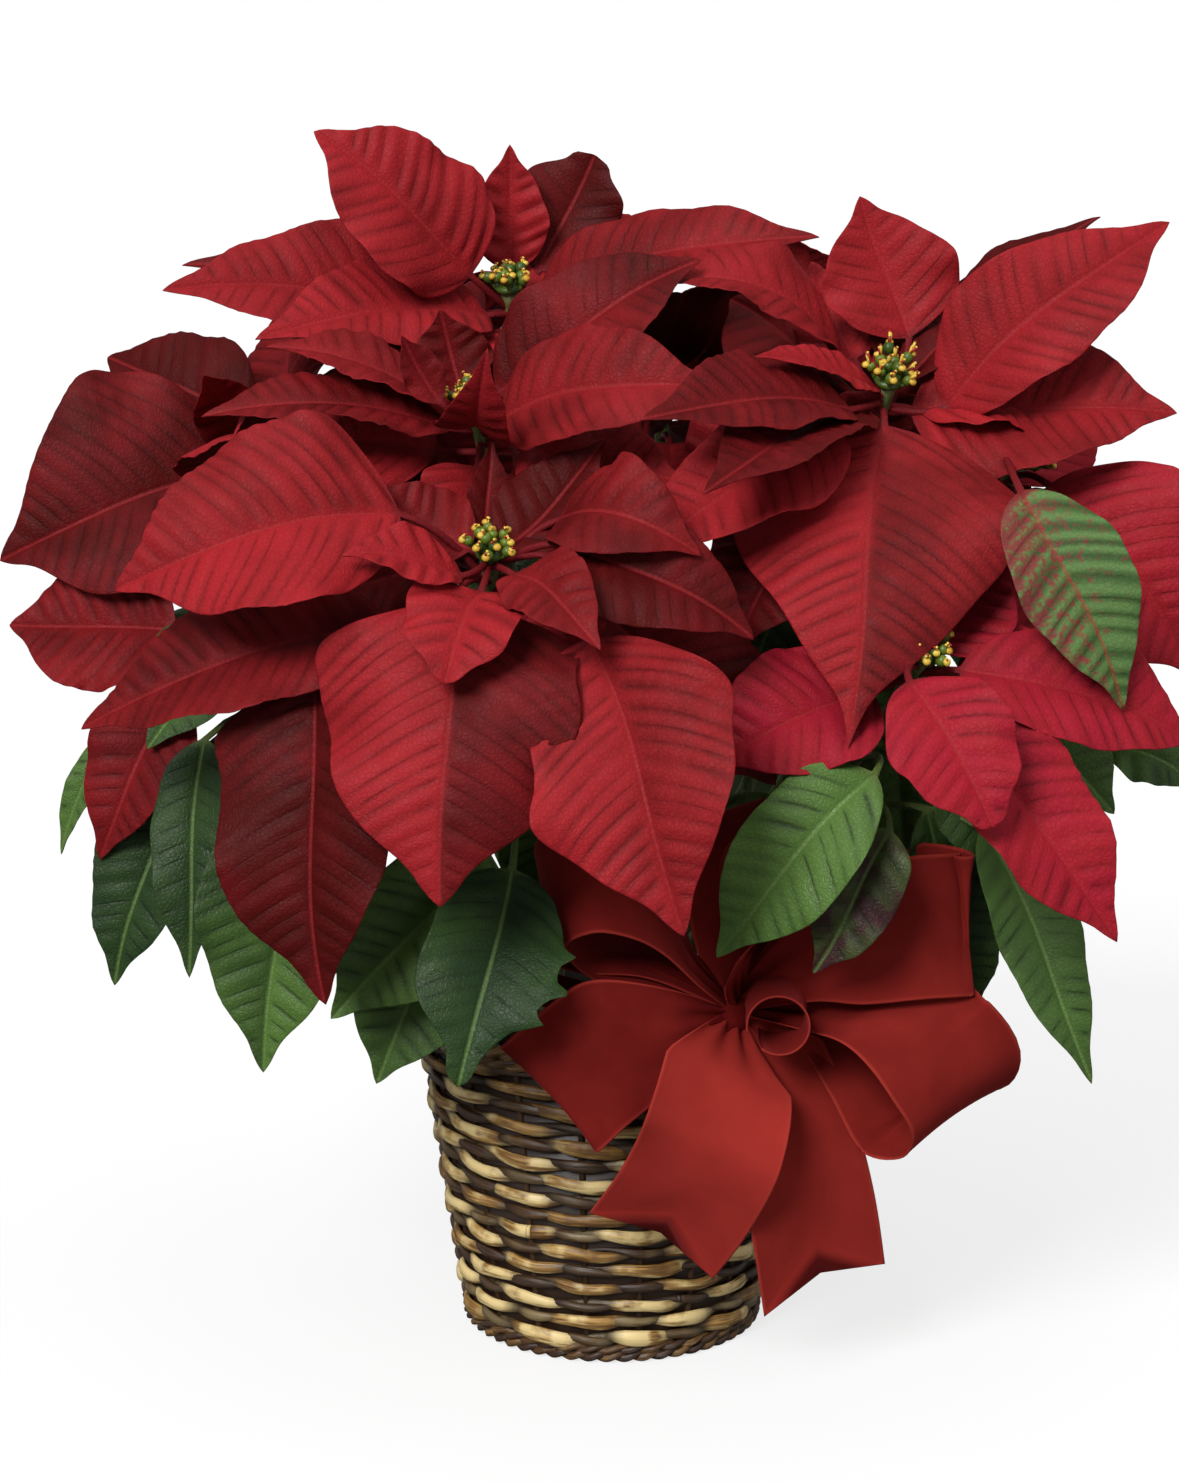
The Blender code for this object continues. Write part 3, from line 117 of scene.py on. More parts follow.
# Bracts that the front shows: (tip, base, face, width, arch, drop). base is where the blade starts,
# as a place or as a length of bare stalk; face is the way the upper side looks; arch is how far the
# blade bows towards it; drop is how far below the flowers the stalk leaves the bloom's axis. A few
# have a fall of their own, which is higher on a slimmer tip, or a fold, which is below 0 where the
# halves hang from the midrib
bractTable = {
    "front": [
        ((-68, -205, 243), (-63, -165, 357), (0.0, -0.88, 0.48), 104, 8, 14, {"fold": -0.14}),
        ((26, -205, 232), (-10, -165, 341), (0.20, -0.85, 0.48), 80, 8, 20),
        ((-198, -150, 358), (-86, -135, 386), (-0.10, -0.75, 0.65), 88, 14, 16),
        ((-115, -178, 196), (-119, -150, 322), (-0.40, -0.85, 0.32), 78, 8, 26),
        ((-216, -130, 298), (-90, -140, 342), (-0.10, -0.72, 0.70), 62, 12, 26),
        ((55, -155, 339), (-22, -140, 375), (0.15, -0.80, 0.58), 50, 10, 8),
        ((-106, -175, 376), (-61, -152, 364), (0.0, -0.60, 0.80), 28, 5, 3),
        ((-66, -182, 326), (-53, -155, 358), (-0.1, -0.85, 0.50), 48, 8, 5, {"fall": 0.7}),
        ((-6, -185, 340), (-40, -150, 364), (0.2, -0.80, 0.55), 36, 8, 5),
        ((14, -170, 352), (-26, -138, 370), (0.1, -0.72, 0.68), 30, 6, 6),
        ((-14, -120, 318), (-34, -112, 356), (0.05, -0.88, 0.45), 44, 8, 14),
        ((-4, -102, 412), 6, (-0.45, -0.85, 0.20), 40, -6, 4),
        ((-50, -104, 414), 5, (0.30, -0.90, 0.20), 20, -5, 5),
        ((-99, -118, 396), 8, (0.15, -0.80, 0.58), 38, -5, 4),
        ((-74, -94, 410), 6, (0.30, -0.92, 0.20), 36, -8, 5),
        ((34, -125, 366), (-22, -120, 382), (0.10, -0.80, 0.58), 46, 8, 12),
        ((66, -118, 272), (-4, -106, 342), (0.15, -0.88, 0.45), 70, 8, 24),
        ((-116, -92, 350), (-74, -96, 362), (0.0, -0.85, 0.50), 46, 8, 12),
    ],
    "right": [
        ((93, -150, 294), (112, -70, 414), (-0.10, -0.88, 0.42), 116, 14, 12,
         {"fall": 1.45, "fold": -0.10}),
        ((11, -50, 471), (95, -36, 440), (-0.10, -0.45, 0.88), 48, 18, 9),
        ((34, -125, 390), 14, (-0.20, -0.78, 0.58), 50, 8, 8),
        ((10, -100, 416), (97, -75, 421), (-0.12, -0.70, 0.70), 50, 8, 8),
        ((57, -92, 444), 4, (-0.1, -0.70, 0.70), 22, 4, 3),
        ((69, -112, 419), 4, (-0.1, -0.75, 0.60), 26, 4, 4),
        ((105, -10, 505), (126, -22, 446), (0.10, -0.97, 0.10), 58, -3, 11),
        ((86, 12, 476), (103, -18, 436), (0.20, -0.95, 0.20), 42, -3, 14),
        ((52, 36, 458), (92, 2, 430), (-0.05, -0.90, 0.42), 58, 4, 18),
        ((212, 20, 495), 12, (0.10, -0.10, 0.98), 42, 6, 8),
        ((234, -10, 491), (140, -44, 418), (-0.16, -0.82, 0.55), 58, 8, 12),
        ((236, -60, 419), 12, (0.12, -0.76, 0.64), 70, 9, 14),
        ((10, -130, 367), (93, -80, 413), (-0.10, -0.80, 0.58), 52, 8, 16),
        ((48, -104, 322), (97, -62, 400), (-0.30, -0.82, 0.48), 62, 8, 20),
        ((24, -50, 378), (90, -38, 412), (-0.10, -0.84, 0.52), 64, 8, 24),
        ((40, -74, 346), (94, -52, 404), (-0.25, -0.84, 0.48), 50, 8, 22),
        ((134, -2, 478), (122, -20, 430), (0.05, -0.95, 0.20), 44, -3, 12),
    ],
    "lower_right": [
        ((146, -196, 272), (116, -160, 323), (0.05, -0.80, 0.60), 50, 8, 6, {"fall": 0.6}),
        ((199, -175, 221), (134, -152, 303), (0.20, -0.85, 0.48), 54, 8, 16),
        ((239, -120, 287), (139, -130, 322), (0.20, -0.72, 0.66), 54, 12, 12),
        ((40, -120, 280), 16, (-0.15, -0.80, 0.58), 60, 10, 14),
        ((162, -95, 362), 8, (-0.30, -0.92, 0.20), 46, -6, 6),
        ((94, -94, 362), 6, (0.30, -0.92, 0.25), 32, -6, 6),
    ],
    "upper_left": [
        ((-128, 0, 532), (-62, 10, 470), (0.30, -0.86, 0.40), 70, 8, 9),
        ((-45, 34, 525), (-45, 36, 470), (0.05, -1.00, 0.10), 33, -2, 9),
        ((-8, 50, 520), (-33, 40, 470), (-0.20, -0.97, 0.10), 50, -3, 12, {"fall": 0.5}),
        ((-150, -50, 448), 12, (-0.10, -0.76, 0.64), 54, 10, 10),
        ((-192, -20, 466), 18, (-0.05, -0.80, 0.60), 64, 10, 12),
        ((-188, 20, 474), 16, (-0.05, -0.60, 0.80), 44, 8, 16),
        ((88, -10, 488), 10, (0.0, -0.66, 0.75), 48, 12, 8),
        ((39, 70, 488), 10, (0.0, -0.70, 0.70), 52, 8, 10),
    ],
    "centre_left": [
        ((36, -50, 480), (-48, -55, 426), (-0.25, -0.82, 0.50), 54, 8, 8),
        ((43, -110, 435), (-47, -75, 417), (-0.05, -0.78, 0.62), 54, 12, 12),
        ((-170, -80, 419), 12, (-0.05, -0.50, 0.86), 42, 10, 10),
        ((-145, -50, 444), 10, (-0.05, -0.40, 0.91), 38, 8, 6),
        ((-87, -80, 452), (-72, -74, 424), (0.30, -0.90, 0.20), 18, -3, 7),
        ((-73, -34, 458), (-64, -42, 424), (0.10, -0.95, 0.15), 34, -4, 9),
        ((28, -140, 404), 18, (0.05, -0.75, 0.66), 50, 10, 16),
        ((-150, -30, 400), 20, (-0.10, -0.75, 0.66), 56, 8, 20),
        ((22, -92, 338), (-38, -58, 398), (0.05, -0.86, 0.50), 58, 8, 22),
        ((-50, -98, 446), 6, (0.05, -0.95, 0.30), 34, -4, 4),
        ((-62, -92, 362), 14, (0.0, -0.90, 0.44), 48, 8, 14),
        ((-44, -24, 364), (-80, -32, 408), (0.0, -0.92, 0.38), 60, 8, 12),
        ((4, -84, 366), (-34, -70, 408), (0.15, -0.88, 0.45), 44, 8, 14),
        ((-100, -44, 342), (-74, -50, 384), (0.0, -0.88, 0.46), 66, 8, 26),
    ],
    "far_left": [
        ((-267, -10, 348), 10, (-0.15, -0.85, 0.50), 94, 12, 12),
        ((-262, -60, 330), (-188, -36, 322), (-0.25, -0.78, 0.58), 66, 8, 26),
        ((-228, 26, 438), (-160, 20, 402), (-0.20, -0.72, 0.66), 56, 6, 10),
        ((-172, -28, 428), 5, (-0.10, -0.95, 0.30), 34, -4, 7),
        ((-218, -75, 230), (-182, -60, 300), (-0.35, -0.88, 0.30), 46, 8, 24),
    ],
    "right_edge": [
        ((247, -60, 306), (185, -40, 385), (0.15, -0.88, 0.45), 80, 14, 8),
        ((123, -110, 340), (167, -50, 380), (-0.20, -0.82, 0.52), 40, 8, 14),
        ((204, -138, 307), (164, -112, 392), (0.15, -0.92, 0.36), 48, 10, 5),
        ((186, -70, 312), (166, -36, 372), (0.10, -0.86, 0.50), 52, 8, 22),
        ((168, -28, 424), 6, (0.10, -0.95, 0.30), 36, -4, 4),
    ],
    "back": [
        ((30, 20, 462), (26, 100, 418), (0.0, -0.75, 0.66), 66, 8, 9),
        ((66, 30, 428), (34, 100, 402), (0.0, -0.80, 0.60), 62, 8, 16),
        ((92, 52, 438), (40, 100, 412), (0.0, -0.82, 0.56), 52, 8, 12),
        ((-14, 40, 424), (16, 100, 400), (0.0, -0.80, 0.60), 60, 8, 22),
        ((26, 0, 350), (26, 60, 390), (0.0, -0.84, 0.54), 70, 8, 26),
    ],
    "back_left": [],
    "back_right": [],
}

# Bracts that the front doesn't show: how many, the angle of the first round the bloom's axis, from
# the direction that points away from the plant's middle, the step to the next, and their length
ringBracts = {
    "upper_left": (2, -10, 80, 96),
    "right": (2, 20, 60, 80),
    "lower_right": (1, 34, -70, 92),
    "far_left": (4, 20, 78, 104),
    "right_edge": (4, -130, 70, 104),
    "centre_left": (0, 0, 0, 0),
    "back": (5, -110, 55, 112),
    "back_left": (6, -150, 58, 112),
    "back_right": (6, -150, 58, 112),
}
ringMake = {
    "seed": 12, "turnPlay": 7, "lifts": (-12, 14), "liftPlay": 6,     # degrees
    "lengths": (0.88, 1.08), "widthShare": 0.56, "stalkShare": 0.17, "arch": 9, "drops": (10, 19),
}
# small upright ones round the flowers of the blooms at the back
innerMake = {"count": 2, "firstTurn": 20, "reach": 46, "lift": 0.65}

# Green leaves that the front shows: the bloom whose branch bears each one, the place along that
# branch, and then as a bract's row without its drop
leafTable = [
    ("lower_right", 0.78, (41, -170, 212), (104, -148, 283), (-0.25, -0.88, 0.40), 50, 10),
    ("lower_right", 0.66, (80, -150, 201), (111, -140, 258), (0.10, -0.92, 0.36), 36, 6),
    ("lower_right", 0.55, (199, -120, 145), (154, -95, 248), (0.20, -0.88, 0.42), 36, 8),
    ("lower_right", 0.42, (157, -90, 162), (131, -85, 254), (0.15, -0.92, 0.35), 40, 6),
    ("right_edge", 0.72, (211, -80, 251), (163, -70, 294), (0.20, -0.86, 0.46), 44, 8),
    ("right_edge", 0.82, (250, -60, 257), (213, -50, 274), (0.30, -0.80, 0.52), 30, 8),
    ("far_left", 0.76, (-243, -20, 219), (-218, -20, 276), (-0.50, -0.80, 0.30), 16, 4),
    ("far_left", 0.66, (-213, -90, 178), (-183, -64, 266), (-0.20, -0.92, 0.32), 48, 6),
    ("far_left", 0.54, (-177, -110, 188), (-171, -85, 284), (-0.25, -0.92, 0.28), 36, 6),
    ("front", 0.40, (-145, -130, 153), (-129, -110, 270), (-0.10, -0.94, 0.30), 66, 6),
    ("front", 0.66, (-116, -140, 179), (-52, -118, 244), (0.20, -0.92, 0.32), 56, 6),
    ("front", 0.30, (-99, -120, 145), (-70, -100, 212), (0.0, -0.94, 0.32), 50, 5),
    ("front", 0.52, (-63, -134, 152), (-42, -118, 236), (0.10, -0.94, 0.32), 58, 6, {"fall": 0.7}),
    ("front", 0.34, (12, -96, 176), (-22, -70, 238), (0.15, -0.92, 0.36), 54, 6),
    ("lower_right", 0.36, (62, -84, 214), (56, -60, 256), (-0.10, -0.92, 0.36), 50, 6),
    ("centre_left", 0.62, (-8, -84, 262), (-34, -62, 322), (0.10, -0.90, 0.42), 56, 6),
    ("right", 0.62, (52, -60, 290), (74, -42, 340), (-0.10, -0.90, 0.42), 56, 6),
    ("far_left", 0.88, (-232, 20, 337), (-198, 20, 371), (-0.30, -0.80, 0.50), 40, 6),
    ("lower_right", 0.60, (172, -86, 214), (140, -78, 280), (0.10, -0.92, 0.38), 40, 5),
    ("right", 0.50, (100, -74, 256), (98, -52, 326), (0.0, -0.92, 0.38), 50, 5),
    ("lower_right", 0.82, (126, -62, 214), (122, -52, 272), (0.0, -0.94, 0.34), 46, 5),
    ("front", 0.50, (-22, -84, 190), (-16, -70, 260), (0.0, -0.94, 0.34), 60, 4),
    ("far_left", 0.70, (-196, -66, 276), (-156, -48, 328), (-0.20, -0.90, 0.38), 46, 5),
    ("far_left", 0.48, (-154, -52, 206), (-148, -44, 282), (-0.10, -0.94, 0.34), 62, 4),
]

# Leaves that the front doesn't show, on each branch: the place along it and the turn from straight
# out in degrees
backLeaves = {
    "back": ((0.42, -38), (0.60, 30), (0.80, -12)),
    "back_left": ((0.42, -34), (0.60, 34), (0.80, 0)),
    "back_right": ((0.42, 34), (0.60, -34), (0.80, 0)),
    "far_left": ((0.52, -55), (0.86, -20)),
    "right_edge": ((0.50, 50), (0.88, 15)),
    "upper_left": ((0.55, 60), (0.70, -50)),
    "right": ((0.60, 25),),
}
backLeafLength = 128
backLeafWidth = 50
backLeafStalk = 38
backLeafDrop = -58

# Ribbon loops: the ribbon's near edge from the knot out and back, the way its width lies from that
# edge, and its full width
loopTable = [
    ([(30, -126, 179), (8, -140, 188), (-14, -149, 191), (-34, -149, 183), (-47, -140, 167),
      (-42, -120, 168), (-8, -110, 175), (25, -106, 176)], (0.66, 0.05, -0.75), 60),
    ([(36, -124, 187), (21, -130, 203), (8, -136, 212), (-8, -138, 215), (-20, -130, 206),
      (-8, -120, 190), (26, -114, 176)], (-0.25, 0.80, 0.55), 56),
    ([(15, -108, 187), (-12, -116, 192), (-37, -118, 197), (-39, -112, 180), (-8, -104, 172)],
     (0.10, 0.95, 0.25), 30),
    ([(38, -102, 188), (31, -101, 212), (29, -96, 238), (36, -84, 249), (42, -76, 232),
      (46, -86, 200)], (0.98, 0.05, 0.10), 60),
    ([(46, -128, 190), (55, -132, 206), (70, -126, 218), (83, -112, 217), (78, -102, 197)],
     (0.50, 0.72, 0.48), 40),
    ([(82, -122, 181), (103, -126, 181), (128, -122, 182), (150, -108, 180), (133, -94, 181),
      (98, -92, 179)], (-0.14, 0.12, 0.98), 60),
    ([(76, -124, 170), (92, -138, 169), (103, -145, 161), (113, -147, 147), (122, -142, 130),
      (118, -130, 116), (103, -120, 116), (90, -112, 138), (76, -106, 158)],
     (0.74, 0.60, 0.30), 66),
]
ringLoopCentre = (67, -127, 177)
ringLoopRadius = 12.5
ringLoopWidth = 30.0
# Tails: the middle line from the knot to the notch, the way the width lies, and how fast it opens
tailTable = [
    ([(47, -120, 152), (41, -123, 128), (33, -119, 104), (24, -113, 86)], (0.80, 0.05, -0.60), 2.9),
    ([(62, -117, 152), (73, -117, 126), (82, -111, 97), (87, -104, 68)], (0.86, 0.42, 0.14), 1.4),
]
tailNotch = 21.0

# Search for room: a blade that would cross another moves along the line of sight, then bows
tryShifts = (0, 7, -7, 14, -14, 21, -21, 30, -30, 40, -40)
tryBows = (0, 7, -7, 14, -14, 22)
tryScales = (1.0, 0.92, 0.84, 0.74, 0.62)
sightWay = np.array((0.0, 0.977, -0.212))
goldenAngle = 2.39996


def unit(v):
    v = np.asarray(v, dtype=float)
    return v / np.linalg.norm(v)


# Where the blade starts: a given place, or a length of stalk from the root to the tip.
def bladeBase(leaf):
    if np.ndim(leaf["base"]):
        return np.array(leaf["base"], dtype=float)
    root = np.array(leaf["root"], dtype=float)
    return root + unit(leaf["tip"] - root) * leaf["base"]


# Where a blade starts, its length, and its directions: along, out of its face, and to its side.
def bladeFrame(leaf):
    base = bladeBase(leaf)
    tip = np.array(leaf["tip"], dtype=float)
    length = np.linalg.norm(tip - base)
    along = (tip - base) / length
    face = np.array(leaf["face"], dtype=float)
    normal = unit(face - face.dot(along) * along)
    return base, length, along, normal, np.cross(along, normal)


# The width at v, as a share of the greatest one.
def bladeOutline(v, fall):
    peak = shapeRise / (shapeRise + fall)
    return v ** shapeRise * (1.0 - v) ** fall / (peak ** shapeRise * (1.0 - peak) ** fall)


# Points of a leaf at rows v (0 at the blade's base, 1 at its tip, -1 at the stalk's root) and
# columns u (-1 to 1 across). The midrib is bowed by 4 arch v (1 - v), the half width follows v^rise
# (1 - v)^fall, both halves lift from the midrib, and the margin is waved.
def bladeGrid(leaf, rows, columns):
    base, length, along, normal, side = bladeFrame(leaf)
    v = np.asarray(rows, dtype=float)[1:, None]
    u = np.asarray(columns, dtype=float)[None, :]
    outline = bladeOutline(v, leaf["fall"])
    half = np.maximum(0.5 * leaf["width"] * outline, stalkHalf * np.sqrt(1.0 - v))
    slope = 4.0 * leaf["arch"] / length * (1.0 - 2.0 * v)
    station = (normal - slope[..., None] * along) / np.sqrt(1.0 + slope ** 2)[..., None]
    wave = marginWave * outline * np.sin(9.0 * v + leaf["phase"] + 1.3 * np.sign(u))
    lift = half * np.abs(u) * (leaf["fold"] + wave * np.abs(u))
    rise = 4.0 * leaf["arch"] * v * (1.0 - v)
    blade = (base + along * (length * v)[..., None] + normal * rise[..., None]
             + side * (half * u)[..., None] + station * lift[..., None])
    root = np.array(leaf["root"], dtype=float)
    stalkWay = unit(base - root)
    across = unit(side - side.dot(stalkWay) * stalkWay + 0.01 * normal)
    foot = root + across * (stalkHalf * u[0])[:, None]
    return np.vstack((foot[None], blade))


# The stalk's root, then stations from the blade's base to its tip.
def bladeRows(spans):
    return np.concatenate(([-1.0], np.linspace(0.0, 1.0, spans + 1) ** 1.15))


# Triangles of a surface three points wide that ends in a single tip point.
def bladeFaces(rows):
    faces = []
    for i in range(rows - 2):
        for j in range(2):
            a = 3 * i + j
            faces.append((a, a + 3, a + 4))
            faces.append((a, a + 4, a + 1))
    last = 3 * (rows - 2)
    tip = 3 * (rows - 1)
    faces.append((last, tip, last + 1))
    faces.append((last + 1, tip, last + 2))
    return faces


def bladeSurface(leaf):
    spans = 3 + sum(leaf["width"] > width for width in widerBlades)
    rows = bladeRows(spans)
    grid = bladeGrid(leaf, rows, (-1.0, 0.0, 1.0))
    points = grid.reshape(-1, 3)[:3 * (len(rows) - 1) + 1]
    return points, bladeFaces(len(rows))


# The same surface as a thin closed shell of triangles, for the search for room.
def closedShape(points, faces, thickness):
    normals = np.zeros_like(points)
    for a, b, c in faces:
        n = np.cross(points[b] - points[a], points[c] - points[a])
        for k in (a, b, c):
            normals[k] += n
    normals /= np.maximum(np.linalg.norm(normals, axis=1, keepdims=True), 1e-9)
    shell = np.vstack((points + normals * thickness / 2, points - normals * thickness / 2))
    shift = len(points)
    edges = {}
    for face in faces:
        for k in range(3):
            edges[(face[k], face[(k + 1) % 3])] = True
    rim = [e for e in edges if (e[1], e[0]) not in edges]
    shellFaces = list(faces) + [(c + shift, b + shift, a + shift) for a, b, c in faces]
    for a, b in rim:
        shellFaces.append((b, a, a + shift))
        shellFaces.append((b, a + shift, b + shift))
    return shell, shellFaces


# The space that is already taken, by node.
class Room:

    def __init__(self):
        self.taken = []

    def add(self, node, points, faces, outerFaces=None):
        tree = BVHTree.FromPolygons(points.tolist(), faces)
        outer = BVHTree.FromPolygons(points.tolist(), outerFaces) if outerFaces else None
        self.taken.append((node, points.min(axis=0), points.max(axis=0), tree, outer))

    def clear(self, node, points, faces, outerFaces, own):
        low = points.min(axis=0)
        high = points.max(axis=0)
        tree = BVHTree.FromPolygons(points.tolist(), faces)
        outer = BVHTree.FromPolygons(points.tolist(), outerFaces)
        for other, otherLow, otherHigh, otherTree, otherOuter in self.taken:
            if np.any(otherLow > high) or np.any(otherHigh < low):
                continue
            if other != node:
                if tree.overlap(otherTree):
                    return False
            elif own and otherOuter is not None and outer.overlap(otherOuter):
                return False
        return True


# The leaf bent clear of what is already there, or None where there is no room for it.
def settled(leaf, node, room):
    for own in (True, False):
        for scale in tryScales:
            for bow in tryBows:
                for shift in tryShifts:
                    trial = dict(leaf)
                    root = np.array(leaf["root"], dtype=float)
                    base = bladeBase(leaf)
                    trial["base"] = root + (base - root) * scale
                    trial["tip"] = root + (np.array(leaf["tip"]) + leaf["slide"] * shift - root) * scale
                    trial["width"] = leaf["width"] * scale
                    trial["arch"] = leaf["arch"] + bow
                    points, faces = bladeSurface(trial)
                    shell, shellFaces = closedShape(points, faces, testThickness)
                    count = len(points)
                    outer = [f for f in shellFaces if min(k % count for k in f) >= stalkPoints]
                    if room.clear(node, shell, shellFaces, outer, own):
                        room.add(node, shell, shellFaces, outer)
                        return trial
    print("no room for a leaf of", node, leaf["tip"])
    return None


# A smooth branch from the plant's trunk to the base of the bloom's axis.
def branchPoints(bloom):
    plant, centre, direction = bloomTable[bloom]
    axis = unit(direction)
    seat = np.array(centre, dtype=float) - axis * (axisLength + fitGap)
    end = seat - axis * branchStraight
    x, y = plantPlaces[plant]
    start = np.array((x, y, trunkTop - 8.0))
    reach = end - start
    first = start + np.array((0.28 * reach[0], 0.28 * reach[1], 0.30 * np.linalg.norm(reach)))
    second = end - axis * 0.35 * np.linalg.norm(reach)
    t = np.linspace(0.0, 1.0, 5)[:, None]
    bend = ((1 - t) ** 3 * start + 3 * (1 - t) ** 2 * t * first
            + 3 * (1 - t) * t ** 2 * second + t ** 3 * end)
    return np.vstack((bend, seat))


# The point at a share of the branch's bend, from the trunk.
def alongBranch(points, share):
    place = share * (len(points) - 2)
    k = min(int(place), len(points) - 3)
    return points[k] + (points[k + 1] - points[k]) * (place - k)


# A table's row with its root and the values that it leaves at their usual ones.
def complete(row, root, number):
    leaf = dict(fall=shapeFall, fold=foldRise, phase=number * goldenAngle, slide=sightWay)
    leaf.update(row)
    leaf["root"] = root
    leaf["tip"] = np.array(row["tip"], dtype=float)
    return leaf


# A table's row with its values by name, and with its own tip as its name, since the tip itself may
# move while the blade looks for room.
def named(row, keys):
    more = row[len(keys)] if len(row) > len(keys) else {}
    return dict(zip(keys, row), row=row[keys.index("tip")], **more)


def bractRows(bloom):
    return [named(row, ("tip", "base", "face", "width", "arch", "drop")) for row in bractTable[bloom]]


def bractLeaf(bloom, row, number):
    centre, direction = bloomTable[bloom][1:]
    axis = unit(direction)
    base = np.array(centre, dtype=float) - axis * row["drop"]
    out = unit(np.array(row["tip"], dtype=float) - base)
    out = unit(out - out.dot(axis) * axis * 0.6)
    return complete(row, base + out * 1.2, number)


# Bracts that the front doesn't show, spaced round the bloom's axis.
def ringRows(bloom):
    centre, direction = bloomTable[bloom][1:]
    count, first, step, length = ringBracts.get(bloom, (0, 0, 0, 0))
    axis = unit(direction)
    away = unit(np.array((centre[0], centre[1], 0.0)))
    out = unit(away - away.dot(axis) * axis)
    across = np.cross(axis, out)
    r = ringMake
    draw = random.Random(r["seed"] + len(bloom))
    rows = []
    for k in range(count):
        angle = math.radians(first + step * k + draw.uniform(-r["turnPlay"], r["turnPlay"]))
        lift = math.radians(r["lifts"][k % 2] + draw.uniform(-r["liftPlay"], r["liftPlay"]))
        reach = length * draw.uniform(*r["lengths"])
        flat = out * math.cos(angle) + across * math.sin(angle)
        tip = np.array(centre) + reach * (math.cos(lift) * flat + math.sin(lift) * axis)
        face = unit(axis + 0.25 * flat)
        rows.append(dict(tip=tip, face=face, width=reach * r["widthShare"], base=reach * r["stalkShare"],
                         arch=r["arch"], drop=r["drops"][k % 2], slide=axis))
    if count > 4:
        for k in range(innerMake["count"]):
            angle = math.radians(first + innerMake["firstTurn"] + 360 / innerMake["count"] * k)
            flat = out * math.cos(angle) + across * math.sin(angle)
            lift = innerMake["lift"]
            tip = np.array(centre) + innerMake["reach"] * (math.cos(lift) * flat + math.sin(lift) * axis)
            rows.append(dict(tip=tip, face=unit(axis - 0.6 * flat), width=25, base=8, arch=-4, drop=5,
                             slide=axis))
    return rows


def backLeaf(bloom, share, turn, number):
    points = branchPoints(bloom)
    root = alongBranch(points, share)
    centre = np.array(bloomTable[bloom][1], dtype=float)
    heading = math.atan2(centre[1], centre[0]) + math.radians(turn)
    out = np.array((math.cos(heading), math.sin(heading), 0.0))
    tip = root + out * backLeafLength * 0.86 + np.array((0.0, 0.0, backLeafDrop))
    row = dict(tip=tip, face=unit(out * 0.6 + np.array((0, 0, 0.8))), width=backLeafWidth,
               base=backLeafStalk, arch=14, slide=np.array((0.0, 0.0, 1.0)))
    return complete(row, root, number)


def bloomNode(bloom):
    return "bloom_" + bloom + "_bracts"


# Every blade's place: the bracts from front to back, then the green leaves.
def planLeaves(room):
    bracts = {bloom: [] for bloom in bloomTable}
    for rowsOf in (bractRows, ringRows):
        for bloom in bloomTable:
            for row in rowsOf(bloom):
                number = len(bracts[bloom])
                leaf = settled(bractLeaf(bloom, row, number), bloomNode(bloom), room)
                if leaf:
                    bracts[bloom].append(leaf)
    leaves = {plant: [] for plant in plantPlaces}
    for number, entry in enumerate(leafTable):
        row = named(entry, ("on", "at", "tip", "base", "face", "width", "arch"))
        plant = bloomTable[row["on"]][0]
        root = alongBranch(branchPoints(row["on"]), row["at"])
        leaf = settled(complete(row, root, number), plant, room)
        if leaf:
            leaves[plant].append(leaf)
    for bloom, places in backLeaves.items():
        for number, (share, turn) in enumerate(places):
            plant = bloomTable[bloom][0]
            leaf = settled(backLeaf(bloom, share, turn, number), plant, room)
            if leaf:
                leaves[plant].append(leaf)
    return bracts, leaves


def flowerFrame(bloom):
    centre, direction = bloomTable[bloom][1:]
    axis = unit(direction)
    first = unit(np.cross(axis, (0.3, 1.0, 0.2)))
    return np.array(centre, dtype=float), axis, first, np.cross(axis, first)


# A Catmull-Rom curve through the points, read at even steps.
def smoothPath(points, count):
    p = np.array(points, dtype=float)
    p = np.vstack((2 * p[0] - p[1], p, 2 * p[-1] - p[-2]))
    spans = len(p) - 3
    place = np.linspace(0, spans, count)
    k = np.minimum(place.astype(int), spans - 1)
    t = (place - k)[:, None]
    a, b, c, d = p[k], p[k + 1], p[k + 2], p[k + 3]
    return 0.5 * (2 * b + (c - a) * t + (2 * a - 5 * b + 4 * c - d) * t ** 2
                  + (3 * b - a - 3 * c + d) * t ** 3)


# Two points across at each station: the path less and plus the half width.
def ribbonSurface(path, across, half):
    grid = np.stack((path - across * half[:, None], path + across * half[:, None]), axis=1)
    faces = []
    for a in range(0, 2 * (len(path) - 1), 2):
        faces.append((a, a + 2, a + 3))
        faces.append((a, a + 3, a + 1))
    return grid.reshape(-1, 3), faces


# The width's direction at each station, made square to the path.
def acrossPath(path, widthWay):
    tangent = np.gradient(path, axis=0)
    tangent /= np.linalg.norm(tangent, axis=1, keepdims=True)
    way = np.tile(unit(widthWay), (len(path), 1))
    across = way - (way * tangent).sum(axis=1, keepdims=True) * tangent
    return across / np.linalg.norm(across, axis=1, keepdims=True)


# A loop from the knot and back, gathered narrow at the knot and full width outside: its middle
# line, the width's direction, half the width, and how far it is gathered.
def loopBand(points, widthWay, width, count):
    knot = np.array(knotPlace)
    edge = smoothPath([knot] + points + [knot + np.array((0.0, 3.0, 0.0))], count)
    share = np.linspace(0.0, 1.0, count)
    openPart = np.maximum(np.minimum(1.0, 1.35 * np.sin(math.pi * share)) ** 0.9, 0.0)
    half = 0.5 * width * (gatherShare + (1.0 - gatherShare) * openPart)
    across = acrossPath(edge, widthWay)
    return edge + across * half[:, None], across, half, 1.0 - openPart


